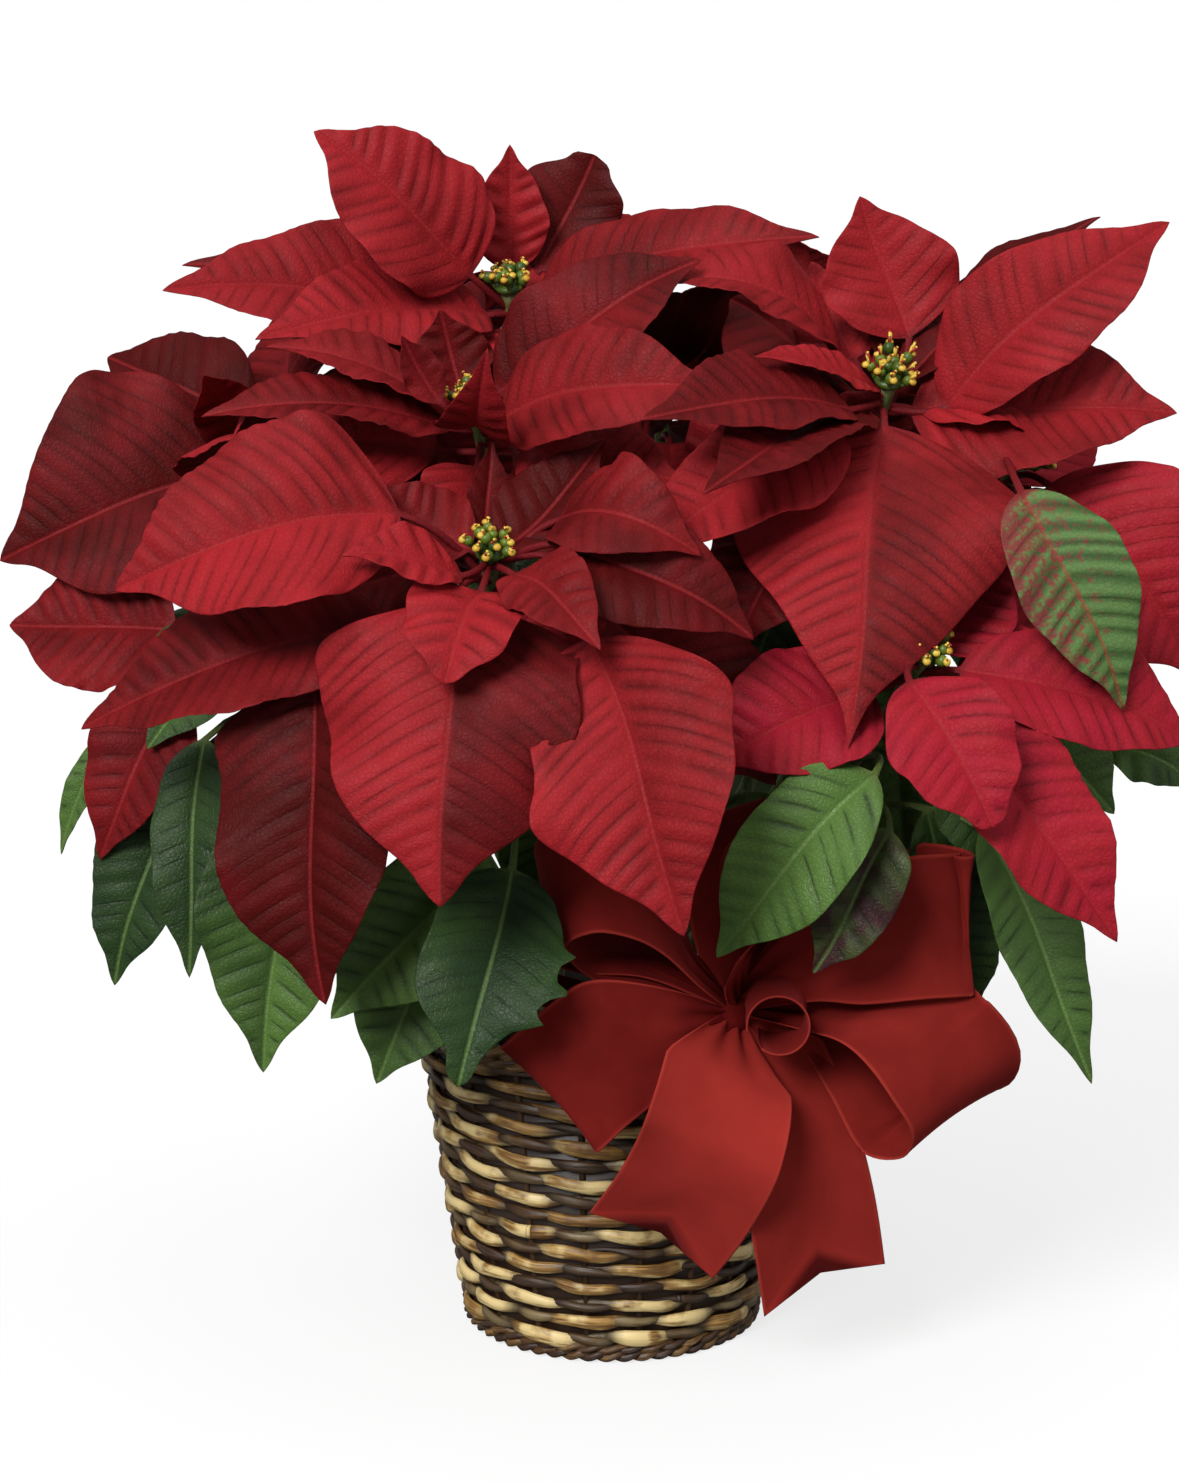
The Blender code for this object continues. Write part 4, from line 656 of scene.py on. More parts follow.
def tailBand(points, widthWay, opening):
    knot = np.array(knotPlace)
    path = smoothPath([knot] + points, 6)
    share = np.linspace(0.0, 1.0, len(path))
    half = 0.5 * ribbonWidth * np.minimum(1.0, gatherShare + opening * share)
    return path, acrossPath(path, widthWay), half


# The small loop in front of the knot, nearly a full circle.
def centreBand(count):
    angles = np.linspace(0.35, 2 * math.pi - 0.35, count) + math.pi * 1.2
    ring = np.array(ringLoopCentre) + ringLoopRadius * np.stack(
        (np.cos(angles), np.zeros_like(angles), np.sin(angles)), axis=1)
    return ring, np.tile((0.0, 1.0, 0.0), (count, 1)), np.full(count, ringLoopWidth / 2)


def ribbonBands():
    bands = [loopBand(points, way, width, len(points) + 2)[:3] for points, way, width in loopTable]
    return bands + [centreBand(9)]


# Mesh tools

def smoothStep(low, high, x):
    t = np.clip((x - low) / (high - low), 0.0, 1.0)
    return t * t * (3.0 - 2.0 * t)


# A lofted skin: rings of points (rows, around, 3) joined into quads, each end closed on a pole in
# its middle. Where the signed volume comes out negative, every face is turned to look outwards.
# marks are arrays (rows, around, 3) that travel with the points. On a thin sheet the first topCount
# points of a ring are its upper face, and the quads below are turned by one corner, so that both
# faces are split along the same diagonals and neither comes through the other.
def loftedSkin(rings, marks, slot=0, topCount=0):
    rows, around = rings.shape[:2]
    i = np.arange(rows - 1)[:, None]
    j = np.arange(around)[None, :]
    a = i * around + j
    b = i * around + (j + 1) % around
    quads = np.stack((a, b, b + around, a + around), axis=-1)
    if topCount:
        quads[:, topCount - 1:] = np.roll(quads[:, topCount - 1:], -1, axis=-1)
    quads = quads.reshape(-1, 4)
    j = np.arange(around)
    following = (j + 1) % around
    startPole = np.stack((following, j, np.full(around, rows * around)), axis=1)
    last = (rows - 1) * around
    endPole = np.stack((last + j, last + following, np.full(around, rows * around + 1)), axis=1)
    tris = np.vstack((startPole, endPole))
    points = np.vstack((rings.reshape(-1, 3), rings[0].mean(axis=0), rings[-1].mean(axis=0)))
    carried = {}
    for name, mark in marks.items():
        mark = np.broadcast_to(mark, rings.shape)
        carried[name] = np.vstack((mark.reshape(-1, 3), mark[0].mean(axis=0), mark[-1].mean(axis=0)))
    allTris = np.vstack((quads[:, [0, 1, 2]], quads[:, [0, 2, 3]], tris))
    p = points - points.mean(axis=0)
    volume = np.einsum('ij,ij->', p[allTris[:, 0]], np.cross(p[allTris[:, 1]], p[allTris[:, 2]]))
    if volume < 0:
        quads = quads[:, ::-1]
        tris = tris[:, ::-1]
    return dict(points=points, quads=quads, tris=tris, marks=carried, slot=slot)


# The columns of a thin sheet's ring: out along its upper face and back along its lower one, with 1
# above and -1 below.
def bothFaces(top):
    upper = np.concatenate((np.ones(len(top)), -np.ones(len(top) - 2)))
    return np.concatenate((top, top[-2:0:-1]))[None, :], upper[None, :]


# Several skins put into one mesh object, with the marks as vector attributes.
def joinedObject(name, skins, materials):
    points = np.vstack([s["points"] for s in skins]) * mm
    corners = []
    totals = []
    slots = []
    shift = 0
    for s in skins:
        for faces in (s["quads"], s["tris"]):
            if len(faces):
                corners.append((faces + shift).reshape(-1))
                totals.append(np.full(len(faces), faces.shape[1]))
                slots.append(np.full(len(faces), s["slot"]))
        shift += len(s["points"])
    corners = np.concatenate(corners).astype(np.int32)
    totals = np.concatenate(totals).astype(np.int32)
    starts = np.concatenate(([0], np.cumsum(totals)[:-1])).astype(np.int32)
    mesh = bpy.data.meshes.new(name)
    mesh.vertices.add(len(points))
    mesh.vertices.foreach_set("co", points.astype(np.float32).reshape(-1))
    mesh.loops.add(len(corners))
    mesh.loops.foreach_set("vertex_index", corners)
    mesh.polygons.add(len(totals))
    mesh.polygons.foreach_set("loop_start", starts)
    mesh.polygons.foreach_set("loop_total", totals)
    mesh.polygons.foreach_set("material_index", np.concatenate(slots).astype(np.int32))
    mesh.polygons.foreach_set("use_smooth", np.ones(len(totals), dtype=bool))
    mesh.update(calc_edges=True)
    for mark in skins[0]["marks"]:
        values = np.vstack([s["marks"][mark] for s in skins]).astype(np.float32)
        attribute = mesh.attributes.new(mark, 'FLOAT_VECTOR', 'POINT')
        attribute.data.foreach_set("vector", values.reshape(-1))
    for material in materials:
        mesh.materials.append(material)
    mesh.validate()
    obj = bpy.data.objects.new(name, mesh)
    bpy.context.scene.collection.objects.link(obj)
    return obj


# Two directions square to a path at each point, the first carried along the path without twist.
def pathFrames(path):
    tangent = np.gradient(path, axis=0)
    tangent /= np.linalg.norm(tangent, axis=1, keepdims=True)
    first = np.cross(tangent[0], (0.31, 0.12, 0.94))
    sides = []
    for t in tangent:
        first = unit(first - first.dot(t) * t)
        sides.append(first)
    sides = np.array(sides)
    return sides, np.cross(tangent, sides)


# A round bar along a path: each ring is centre + radius (cos a side + sin a up).
def tubeSkin(path, radius, around, marks=None, slot=0):
    path = np.asarray(path, dtype=float)
    sides, ups = pathFrames(path)
    a = np.linspace(0.0, 2 * math.pi, around, endpoint=False)
    radius = np.broadcast_to(radius, (len(path),))[:, None, None]
    ring = np.cos(a)[None, :, None] * sides[:, None] + np.sin(a)[None, :, None] * ups[:, None]
    return loftedSkin(path[:, None] + radius * ring, marks or {}, slot)


def trianglesOf(skin):
    quads = skin["quads"]
    faces = np.vstack((quads[:, [0, 1, 2]], quads[:, [0, 2, 3]], skin["tris"]))
    return [tuple(int(k) for k in f) for f in faces]


def attach(obj, slotName, *nodes):
    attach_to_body(obj, "root")
    if nodes:
        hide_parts(*nodes)
    return obj


# Materials

times = {"operation": 'MULTIPLY'}
timesPlus = {"operation": 'MULTIPLY_ADD'}
softStep = {"interpolation_type": 'SMOOTHSTEP'}


def hexColour(text):
    srgb = [int(text[k:k + 2], 16) / 255 for k in (1, 3, 5)]
    return (*[c / 12.92 if c <= 0.04045 else ((c + 0.055) / 1.055) ** 2.4 for c in srgb], 1.0)


# Adds a node: its inputs in order or by name, each a value or a link, and its settings by name. It
# gives the output that is asked for.
def addNode(tree, kind, inputs=(), output=0, **settings):
    node = tree.nodes.new("ShaderNode" + kind)
    for name, value in settings.items():
        setattr(node, name, value)
    for key, value in (inputs.items() if isinstance(inputs, dict) else enumerate(inputs)):
        if isinstance(value, bpy.types.NodeSocket):
            tree.links.new(value, node.inputs[key])
        else:
            node.inputs[key].default_value = value
    return node.outputs[output]


# An empty material with its surface shader; the values are set on the shader's own sockets.
def newMaterial(name, values):
    material = bpy.data.materials.new(name)
    material.use_nodes = True
    tree = material.node_tree
    shader = tree.nodes["Principled BSDF"]
    for key, value in values.items():
        shader.inputs[key].default_value = value
    return material, tree, shader


# One of the three values of a piece's mark.
def markValue(tree, name, number):
    read = addNode(tree, "Attribute", output="Vector", attribute_name=name)
    return addNode(tree, "SeparateXYZ", [read], number)


# The masks multiplied with each other.
def product(tree, masks):
    share = masks[0]
    for mask in masks[1:]:
        share = addNode(tree, "Math", [share, mask], **times)
    return share


# Coats of colour, each laid over the last where the product of its masks is high.
def layered(tree, colour, coats):
    for masks, coat in coats:
        share = product(tree, masks)
        colour = addNode(tree, "Mix", {0: share, 6: colour, 7: coat}, 2, data_type='RGBA')
    return colour


# Joins a colour to the shader, with a roughness and the relief of a bump where they are given.
# relief is (strength, depth in metres, height).
def finishSurface(tree, shader, colour, relief=None, rough=None):
    tree.links.new(colour, shader.inputs["Base Color"])
    if rough is not None:
        tree.links.new(rough, shader.inputs["Roughness"])
    if relief:
        strength, depth, height = relief
        bump = addNode(tree, "Bump", {"Strength": strength, "Distance": depth, "Height": height})
        tree.links.new(bump, shader.inputs["Normal"])


# A bract: a soft coloured leaf with a waxy satin skin, which gives a dull sheen. Side veins are
# pressed in, with painted shade in them and beside them, and the midrib is paler.
bractLook = {
    "lit": "#A02228", "deep": "#4C0B0B", "groove": "#260504", "midrib": "#94262A",
    "pink": "#9E1C2E", "rose": "#8E3F48", "under": "#521110", "stalk": "#6E191E",
    "green": "#3C5A30", "paleGreen": "#5C7C46",
    "pleatShade": 0.34, "line": 0.32, "cellMm": 2.2, "bump": 0.35,
}

# A foliage leaf: a firmer waxy skin, darker on top than below, with a net of fine veins, and painted shade in
# its side veins and beside them.
leafLook = {
    "lit": "#557434", "deep": "#20361A", "groove": "#101D0B", "midrib": "#6F8A4C",
    "pink": "#3C1420", "rose": "#8E3F48", "under": "#475F38", "stalk": "#56652F",
    "green": "#33562B", "paleGreen": "#55753F",
    "pleatShade": 0.42, "line": 0.6, "cellMm": 2.0, "bump": 0.4,
}


# Leaf marks: leafPlace is (mm from the midrib, mm along it, vein number), leafToneAndShade is (lightness, 1
# on the lower face, kind), where the lightness is painted light and shade on blades that a table
# lists and a random tone on the rest, and leafEdge is (across from -1 to 1, 1 on the stalk, along
# from 0 to 1).
# Kind 1 leans to the second colour of the look, and kind 2 is blotched with green.
def leafMaterial(name, look, values):
    material, tree, shader = newMaterial(name, values)
    x, vein = (markValue(tree, "leafPlace", k) for k in (0, 2))
    tone, under, kind = (markValue(tree, "leafToneAndShade", k) for k in range(3))
    across, stalk, along = (markValue(tree, "leafEdge", k) for k in range(3))
    where = addNode(tree, "TexCoord", output="Object")
    colours = {key: hexColour(value) for key, value in look.items() if isinstance(value, str)}
    # noises whose patches are this many millimetres wide, with their detail
    broad, mottle, speck, wear, drift, gloss = (
        addNode(tree, "TexNoise", {"Vector": where, "Scale": 1000 / size, "Detail": detail})
        for size, detail in ((30.0, 3.0), (13.0, 4.0), (2.6, 5.0), (24.0, 2.0), (38.0, 1.0), (9.0, 3.0)))
    # painted light and shade: the blade's lightness, with broad patches of random tone, mixes the deep colour
    # towards the lit one
    lightness = addNode(tree, "Math", [tone, 0.75], **times)
    lightness = addNode(tree, "Math", [broad, 0.55, lightness], **timesPlus)
    # 1 halfway between two side veins and 0 on a vein
    toVein = addNode(tree, "Math", [addNode(tree, "Math", [vein, 0.5], operation='PINGPONG'), 2.0], **times)
    fromRib = addNode(tree, "Math", [x], operation='ABSOLUTE')
    fromMiddle = addNode(tree, "Math", [across], operation='ABSOLUTE')
    fadeIn = addNode(tree, "MapRange", [fromRib, 0.6, 5.0], **softStep)
    # kind 1 is mottled, and kind 2 has blotches of green between its veins
    leaning = addNode(tree, "MapRange", [kind, 0.2, 1.0], **softStep)
    wholly = addNode(tree, "MapRange", [kind, 1.1, 1.9, 1.0, 0.0], **softStep)
    mottled = addNode(tree, "MapRange", [mottle, 0.38, 0.6, 0.45, 0.95], **softStep)
    partly = addNode(tree, "MapRange", [kind, 1.1, 1.9], **softStep)
    for value, weight in ((along, 0.28), (across, -0.16), (toVein, 0.12)):
        speck = addNode(tree, "Math", [value, weight, speck], **timesPlus)
    turned = addNode(tree, "MapRange", [speck, 0.46, 0.74, 0.15, 1.0], **softStep)
    greenTone = addNode(tree, "Math", [toVein, broad], operation='ADD')
    greenTone = addNode(tree, "MapRange", [greenTone, 0.5, 1.4], **softStep)
    greens = layered(tree, colours["green"], [([greenTone], colours["paleGreen"])])
    # painted shade in the vein grooves, which fades out in places and stops short of the margin
    groove = product(tree, [addNode(tree, "MapRange", [toVein, 0.26, 0.0], **softStep), fadeIn,
                            addNode(tree, "MapRange", [wear, 0.35, 0.6], **softStep),
                            addNode(tree, "MapRange", [fromMiddle, 1.0, 0.7], **softStep)])
    # painted shade on each pleat: the skin between two veins is left lightest in the middle and painted
    # darkest beside the upper vein
    pleatShade = addNode(tree, "Math", [broad, 0.3, toVein], **timesPlus)
    pleatShade = addNode(tree, "MapRange", [pleatShade, 0.95, 0.15], **softStep)
    uneven = addNode(tree, "MapRange", [drift, 0.3, 0.7, 0.05, look["pleatShade"]], **softStep)
    calm = addNode(tree, "Math", [partly, -0.6, 1.0], **timesPlus)
    rib = addNode(tree, "MapRange", [fromRib, 1.2, 0.3], **softStep)
    # the fine net of veins, about 2 mm across, only just shows
    net = addNode(tree, "TexVoronoi", {"Vector": where, "Scale": 1000 / look["cellMm"]}, "Distance",
                  feature='DISTANCE_TO_EDGE')
    cell = addNode(tree, "MapRange", [net, 0.0, 0.22], **softStep)
    line = addNode(tree, "MapRange", [net, 0.0, 0.22, 1.0, 0.0], **softStep)
    skin = layered(tree, colours["deep"], [
        ([addNode(tree, "MapRange", [lightness, 0.25, 0.9], **softStep)], colours["lit"]),
        ([leaning, wholly, mottled], colours["pink"]),
        ([partly, 0.55], colours["rose"]),
        ([partly, turned], greens),
        ([pleatShade, fadeIn, uneven, calm], colours["groove"]),
        ([groove, look["line"]], colours["groove"]),
        ([rib, 0.5], colours["midrib"]),
        ([under, 0.65], colours["under"]),
        ([stalk], colours["stalk"]),
        ([line, 0.14], colours["groove"]),
    ])
    rough = addNode(tree, "MapRange", [gloss, 0.3, 0.7, values["Roughness"] - 0.06,
                                       values["Roughness"] + 0.08], **softStep)
    height = addNode(tree, "Math", [groove, -0.9], **times)
    height = addNode(tree, "Math", [cell, 0.5, height], **timesPlus)
    finishSurface(tree, shader, skin, (look["bump"], 0.0006, height), rough)
    return material


# Green woody stem, ridged along its length, with paler breathing pores.
def stemMaterial():
    material, tree, shader = newMaterial("greenStemBark", {"Roughness": 0.55, "IOR": 1.45})
    where = addNode(tree, "TexCoord", output="Object")
    stretched = addNode(tree, "Mapping", {"Vector": where, "Scale": (1.0, 1.0, 0.25)})
    grain = addNode(tree, "TexNoise", {"Vector": stretched, "Scale": 1000 / 2.5, "Detail": 4.0})
    brown = addNode(tree, "TexNoise", {"Vector": where, "Scale": 1000 / 22.0, "Detail": 2.0})
    colour = layered(tree, hexColour("#4A5A2C"), [
        ([addNode(tree, "MapRange", [grain, 0.35, 0.65], **softStep)], hexColour("#75804A")),
        ([addNode(tree, "MapRange", [brown, 0.45, 0.7], **softStep), 0.5], hexColour("#6B5638")),
    ])
    finishSurface(tree, shader, colour, (0.5, 0.0005, grain))
    return material


# Flower cups: waxy green cups with yellow glands that catch the light. The mark is (part, lightness):
# part 0 is a cup, 1 a gland or a stamen, and 2 the red tip of a stamen.
def flowerMaterial():
    material, tree, shader = newMaterial("flowerCupWaxy", {"Roughness": 0.38, "IOR": 1.45})
    part, tone = (markValue(tree, "flowerPart", k) for k in range(2))
    gold = layered(tree, hexColour("#C08F20"), [([tone], hexColour("#E2C450"))])
    colour = layered(tree, hexColour("#2F4A18"), [
        ([tone], hexColour("#667A24")),
        ([addNode(tree, "MapRange", [part, 0.4, 0.6], **softStep)], gold),
        ([addNode(tree, "MapRange", [part, 1.4, 1.6], **softStep)], hexColour("#9E2A22")),
    ])
    finishSurface(tree, shader, colour)
    return material


# Willow rods split and peeled, woven damp and dried: pale ones and ones stained dark brown, with
# fibres along each rod that show as streaks.
basketLook = {
    "pale": "#B88E4A", "paleLight": "#EDD394", "paleDark": "#5E3C1A", "stained": "#4C3220",
    "stainedDark": "#24150C", "fibreMm": 0.9, "patchMm": 14.0,
}


# Rod marks: rodPlace is (mm along, mm round, a number for the rod), and rodStainAndShade is (stain, painted
# shade where it goes behind a stake, lightness of each span with painted light towards the foot and
# painted shade towards the rim).
def rodMaterial(look):
    material, tree, shader = newMaterial("willowRodSplit", {"Roughness": 0.5, "IOR": 1.5})
    place = addNode(tree, "Attribute", output="Vector", attribute_name="rodPlace")
    stained, under, light = (markValue(tree, "rodStainAndShade", k) for k in range(3))
    # the rod's number is spread out so that each rod reads its own part of the noise
    stretched = addNode(tree, "Mapping", {"Vector": place, "Scale": (0.05, 1.0, 37.0)})
    fibre = addNode(tree, "TexNoise", {"Vector": stretched, "Scale": 1 / look["fibreMm"], "Detail": 4.0})
    spread = addNode(tree, "Mapping", {"Vector": place, "Scale": (1.0, 1.0, 53.0)})
    cloud = addNode(tree, "TexNoise", {"Vector": spread, "Scale": 1 / look["patchMm"], "Detail": 3.0})
    # each span's lightness, a random tone with painted light and shade, shifts the light and dark patches
    light = addNode(tree, "Math", [light, 0.5], operation='SUBTRACT')
    cloud = addNode(tree, "Math", [light, 0.28, cloud], **timesPlus)
    stain = layered(tree, hexColour(look["stainedDark"]), [
        ([addNode(tree, "MapRange", [fibre, 0.3, 0.75], **softStep)], hexColour(look["stained"])),
    ])
    colour = layered(tree, hexColour(look["paleDark"]), [
        ([addNode(tree, "MapRange", [fibre, 0.32, 0.68], **softStep)], hexColour(look["pale"])),
        ([addNode(tree, "MapRange", [cloud, 0.46, 0.66], **softStep), 0.9], hexColour(look["paleLight"])),
        ([addNode(tree, "MapRange", [cloud, 0.44, 0.28], **softStep), 0.85], hexColour(look["paleDark"])),
        ([stained], stain),
        ([under], hexColour(look["stainedDark"])),
    ])
    rough = addNode(tree, "MapRange", [fibre, 0.3, 0.7, 0.34, 0.56], **softStep)
    finishSurface(tree, shader, colour, (0.6, 0.0005, fibre), rough)
    return material


# Cotton velvet woven on a wired ribbon: short dense pile that turns pale where it is seen edge on
# and dark where it is seen from above. The pile is far too fine to show, so its nap is drawn as
# soft patches about 22 mm wide, and each piece carries its own painted light and shade. Tufts are
# drawn at 1.2 mm, coarser than the real 0.4 mm so that they show.
velvetLook = {"deep": "#5C100F", "lit": "#A6322B", "edge": "#A8382F", "napMm": 22.0, "tuftMm": 1.2}


# Ribbon marks: ribbonPlace is (mm along, mm across, 0 in the middle to 1 at the edge), and
# ribbonPaintedLight starts with the lightness, which is painted light and shade.
def velvetMaterial(look):
    material, tree, shader = newMaterial("cottonVelvetRibbon", {
        "Roughness": 0.9, "IOR": 1.35, "Sheen Weight": 0.35, "Sheen Roughness": 0.4,
        "Sheen Tint": hexColour("#C8484A"), "Specular IOR Level": 0.1})
    place = addNode(tree, "Attribute", output="Vector", attribute_name="ribbonPlace")
    edge = addNode(tree, "MapRange", [markValue(tree, "ribbonPlace", 2), 0.93, 0.985], **softStep)
    nap = addNode(tree, "TexNoise", {"Vector": place, "Scale": 1 / look["napMm"], "Detail": 3.0})
    nap = addNode(tree, "Math", [nap, 0.5], operation='SUBTRACT')
    # the nap's patches plus the piece's painted light and shade mix the deep colour towards the lit one
    lightness = addNode(tree, "Math", [nap, 0.5, markValue(tree, "ribbonPaintedLight", 0)], **timesPlus)
    colour = layered(tree, hexColour(look["deep"]), [
        ([lightness], hexColour(look["lit"])),
        ([edge, 0.6], hexColour(look["edge"])),
    ])
    grain = addNode(tree, "TexNoise", {"Vector": place, "Scale": 1 / look["tuftMm"], "Detail": 2.0})
    finishSurface(tree, shader, colour, (0.25, 0.0003, grain))
    return material


# Peat potting mix: dull dark fibres and crumbs about 3 mm across, which give no gloss at all.
def peatMaterial():
    material, tree, shader = newMaterial("peatPottingMix", {"Roughness": 0.95, "IOR": 1.4})
    where = addNode(tree, "TexCoord", output="Object")
    crumb = addNode(tree, "TexNoise", {"Vector": where, "Scale": 1000 / 3.0, "Detail": 5.0})
    colour = layered(tree, hexColour("#1E140D"), [
        ([addNode(tree, "MapRange", [crumb, 0.35, 0.7], **softStep)], hexColour("#4A3423"))])
    finishSurface(tree, shader, colour, (0.9, 0.002, crumb))
    return material


# Grower's pot: thin moulded polypropylene, semi-matt from the mould's fine texture.
def potMaterial():
    material, tree, shader = newMaterial("mouldedPolypropylene", {"Roughness": 0.45, "IOR": 1.49})
    where = addNode(tree, "TexCoord", output="Object")
    texture = addNode(tree, "TexNoise", {"Vector": where, "Scale": 1000 / 0.8, "Detail": 2.0})
    fade = addNode(tree, "TexNoise", {"Vector": where, "Scale": 1000 / 30.0, "Detail": 2.0})
    colour = layered(tree, hexColour("#151515"), [
        ([addNode(tree, "MapRange", [fade, 0.3, 0.7], **softStep)], hexColour("#222120"))])
    finishSurface(tree, shader, colour, (0.2, 0.0002, texture))
    return material


# Florist's wire: drawn steel with a baked green enamel, which is smooth and a little uneven in tone.
def wireMaterial():
    material, tree, shader = newMaterial("enamelledDrawnWire", {"Roughness": 0.4, "IOR": 1.5})
    where = addNode(tree, "TexCoord", output="Object")
    fade = addNode(tree, "TexNoise", {"Vector": where, "Scale": 1000 / 4.0, "Detail": 2.0})
    finishSurface(tree, shader, layered(tree, hexColour("#2E4A28"), [([fade], hexColour("#3E5E33"))]))
    return material


bractSkin = leafMaterial("bractSkinSatin", bractLook, {
    "Roughness": 0.55, "IOR": 1.42, "Specular IOR Level": 0.12, "Sheen Weight": 0.02,
    "Sheen Roughness": 0.4, "Sheen Tint": hexColour("#D05058")})
leafSkin = leafMaterial("foliageSkinWaxy", leafLook, {
    "Roughness": 0.48, "IOR": 1.45, "Specular IOR Level": 0.26})
stemBark = stemMaterial()
flowerWax = flowerMaterial()
rodWillow = rodMaterial(basketLook)
ribbonVelvet = velvetMaterial(velvetLook)
stage("materials made")

# The room that is taken before the leaves: the CAD's own basket, soil, wire and flowers, the
# ribbon's plain bands, and a bar round each branch and each bloom's tip

room = Room()


def takeNode(name):
    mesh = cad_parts[name].data
    points = np.zeros(len(mesh.vertices) * 3, np.float32)
    mesh.vertices.foreach_get("co", points)
    mesh.calc_loop_triangles()
    faces = [tuple(t.vertices) for t in mesh.loop_triangles]
    room.add(name, points.reshape(-1, 3).astype(float) / mm, faces)


def takeTube(node, path, radius):
    skin = tubeSkin(path, radius, 6)
    room.add(node, skin["points"], trianglesOf(skin))


def takeAllRoom():
    takeNode("basket")
    takeNode("soil")
    for path, across, half in ribbonBands():
        points, faces = ribbonSurface(path, across, half)
        room.add("ribbon_bow", *closedShape(points, faces, testThickness))
    for points, way, opening in tailTable:
        path, across, half = tailBand(points, way, opening)
        surface, faces = ribbonSurface(path, across, half)
        end = unit(path[-1] - path[-2])
        left = len(surface) - 2
        surface = np.vstack((surface, path[-1] + end, surface[left:] + end * tailNotch))
        faces += [(left, left + 3, left + 2), (left, left + 2, left + 1), (left + 1, left + 2, left + 4)]
        room.add("ribbon_bow", *closedShape(surface, faces, testThickness))
    takeNode("bow_wire")
    for bloom in bloomTable:
        takeNode("bloom_" + bloom + "_flowers")
        takeTube(bloomTable[bloom][0], branchPoints(bloom), branchRadius + 0.5)
        centre, axis = flowerFrame(bloom)[:2]
        takeTube(bloomNode(bloom), np.array([centre, centre - axis * axisLength]), axisRadius + 0.6)


takeAllRoom()
bloomBracts, plantLeaves = planLeaves(room)
stage(f"{sum(map(len, bloomBracts.values()))} bracts and {sum(map(len, plantLeaves.values()))} leaves placed")

# Leaves

bladeMake = {
    "wideRows": 66, "narrowRows": 42, "wideFrom": 58,
    # columns from the midrib (0) to the margin (1), close together at both
    "wideHalf": (0, 0.02, 0.06, 0.13, 0.22, 0.33, 0.44, 0.55, 0.66, 0.77, 0.88, 0.96, 0.992, 1),
    "narrowHalf": (0, 0.05, 0.14, 0.28, 0.43, 0.58, 0.73, 0.87, 0.96, 0.992, 1),
    "thickness": 0.55,                          # mm
    "ribDepth": 2.2, "ribReach": 1.5,           # mm, under the midrib
    "grooveDepth": 0.55, "grooveReach": 1.1,    # mm, on top of the midrib
    "veinStep": 8.0, "veinSlant": 0.42, "veinBend": 0.005,
    "veinDrift": ((0.17, 1.7), (0.06, 4.3)),    # how far vein numbers drift, and how often
    "bractPleat": 1.8, "leafPleat": 1.3,        # mm that the skin rises between side veins
    "pleatShare": (0.45, 1.25),                 # each half takes its own share of that
    "marginDrift": ((0.045, 7.0), (0.022, 19.0)),
    "tipPinch": (0.30, 0.90, 0.09),             # share of the width lost, where, and how far round it
    "ruffle": (0.045, 25.0), "twist": 0.10, "puff": 0.05, "sway": 0.012,
    "stalkRows": 7, "stalkRadius": 1.35, "stalkSwell": 0.25,
}


# The stalk's rings, on a curve from the root that comes into the blade's own direction, and how far
# before the blade each one is. A section is an oval with the blade's own columns.
def stalkRings(root, base, along, side, u, upper):
    s = np.linspace(0.0, 1.0, bladeMake["stalkRows"] + 1)[:-1, None]
    reach = np.linalg.norm(base - root)
    bend = 0.5 * (0.5 * (root + base)) + 0.5 * (base - along * 0.4 * reach)
    middle = (1 - s) ** 2 * root + 2 * s * (1 - s) * bend + s ** 2 * base
    way = 2 * (1 - s) * (bend - root) + 2 * s * (base - bend)
    way = way / np.linalg.norm(way, axis=1, keepdims=True)
    stalkSide = side - (way * side).sum(axis=1, keepdims=True) * way
    stalkSide = stalkSide / np.linalg.norm(stalkSide, axis=1, keepdims=True)
    stalkUp = np.cross(stalkSide, way)
    thick = bladeMake["stalkRadius"] + bladeMake["stalkSwell"] * (1 - s)
    bowed = np.sqrt(np.maximum(0.0, 1.0 - u ** 2)) * upper
    rings = (middle[:, None] + stalkSide[:, None] * ((thick * 1.05) * u)[..., None]
             + stalkUp[:, None] * (thick * bowed)[..., None])
    return rings, (s - 1) * reach


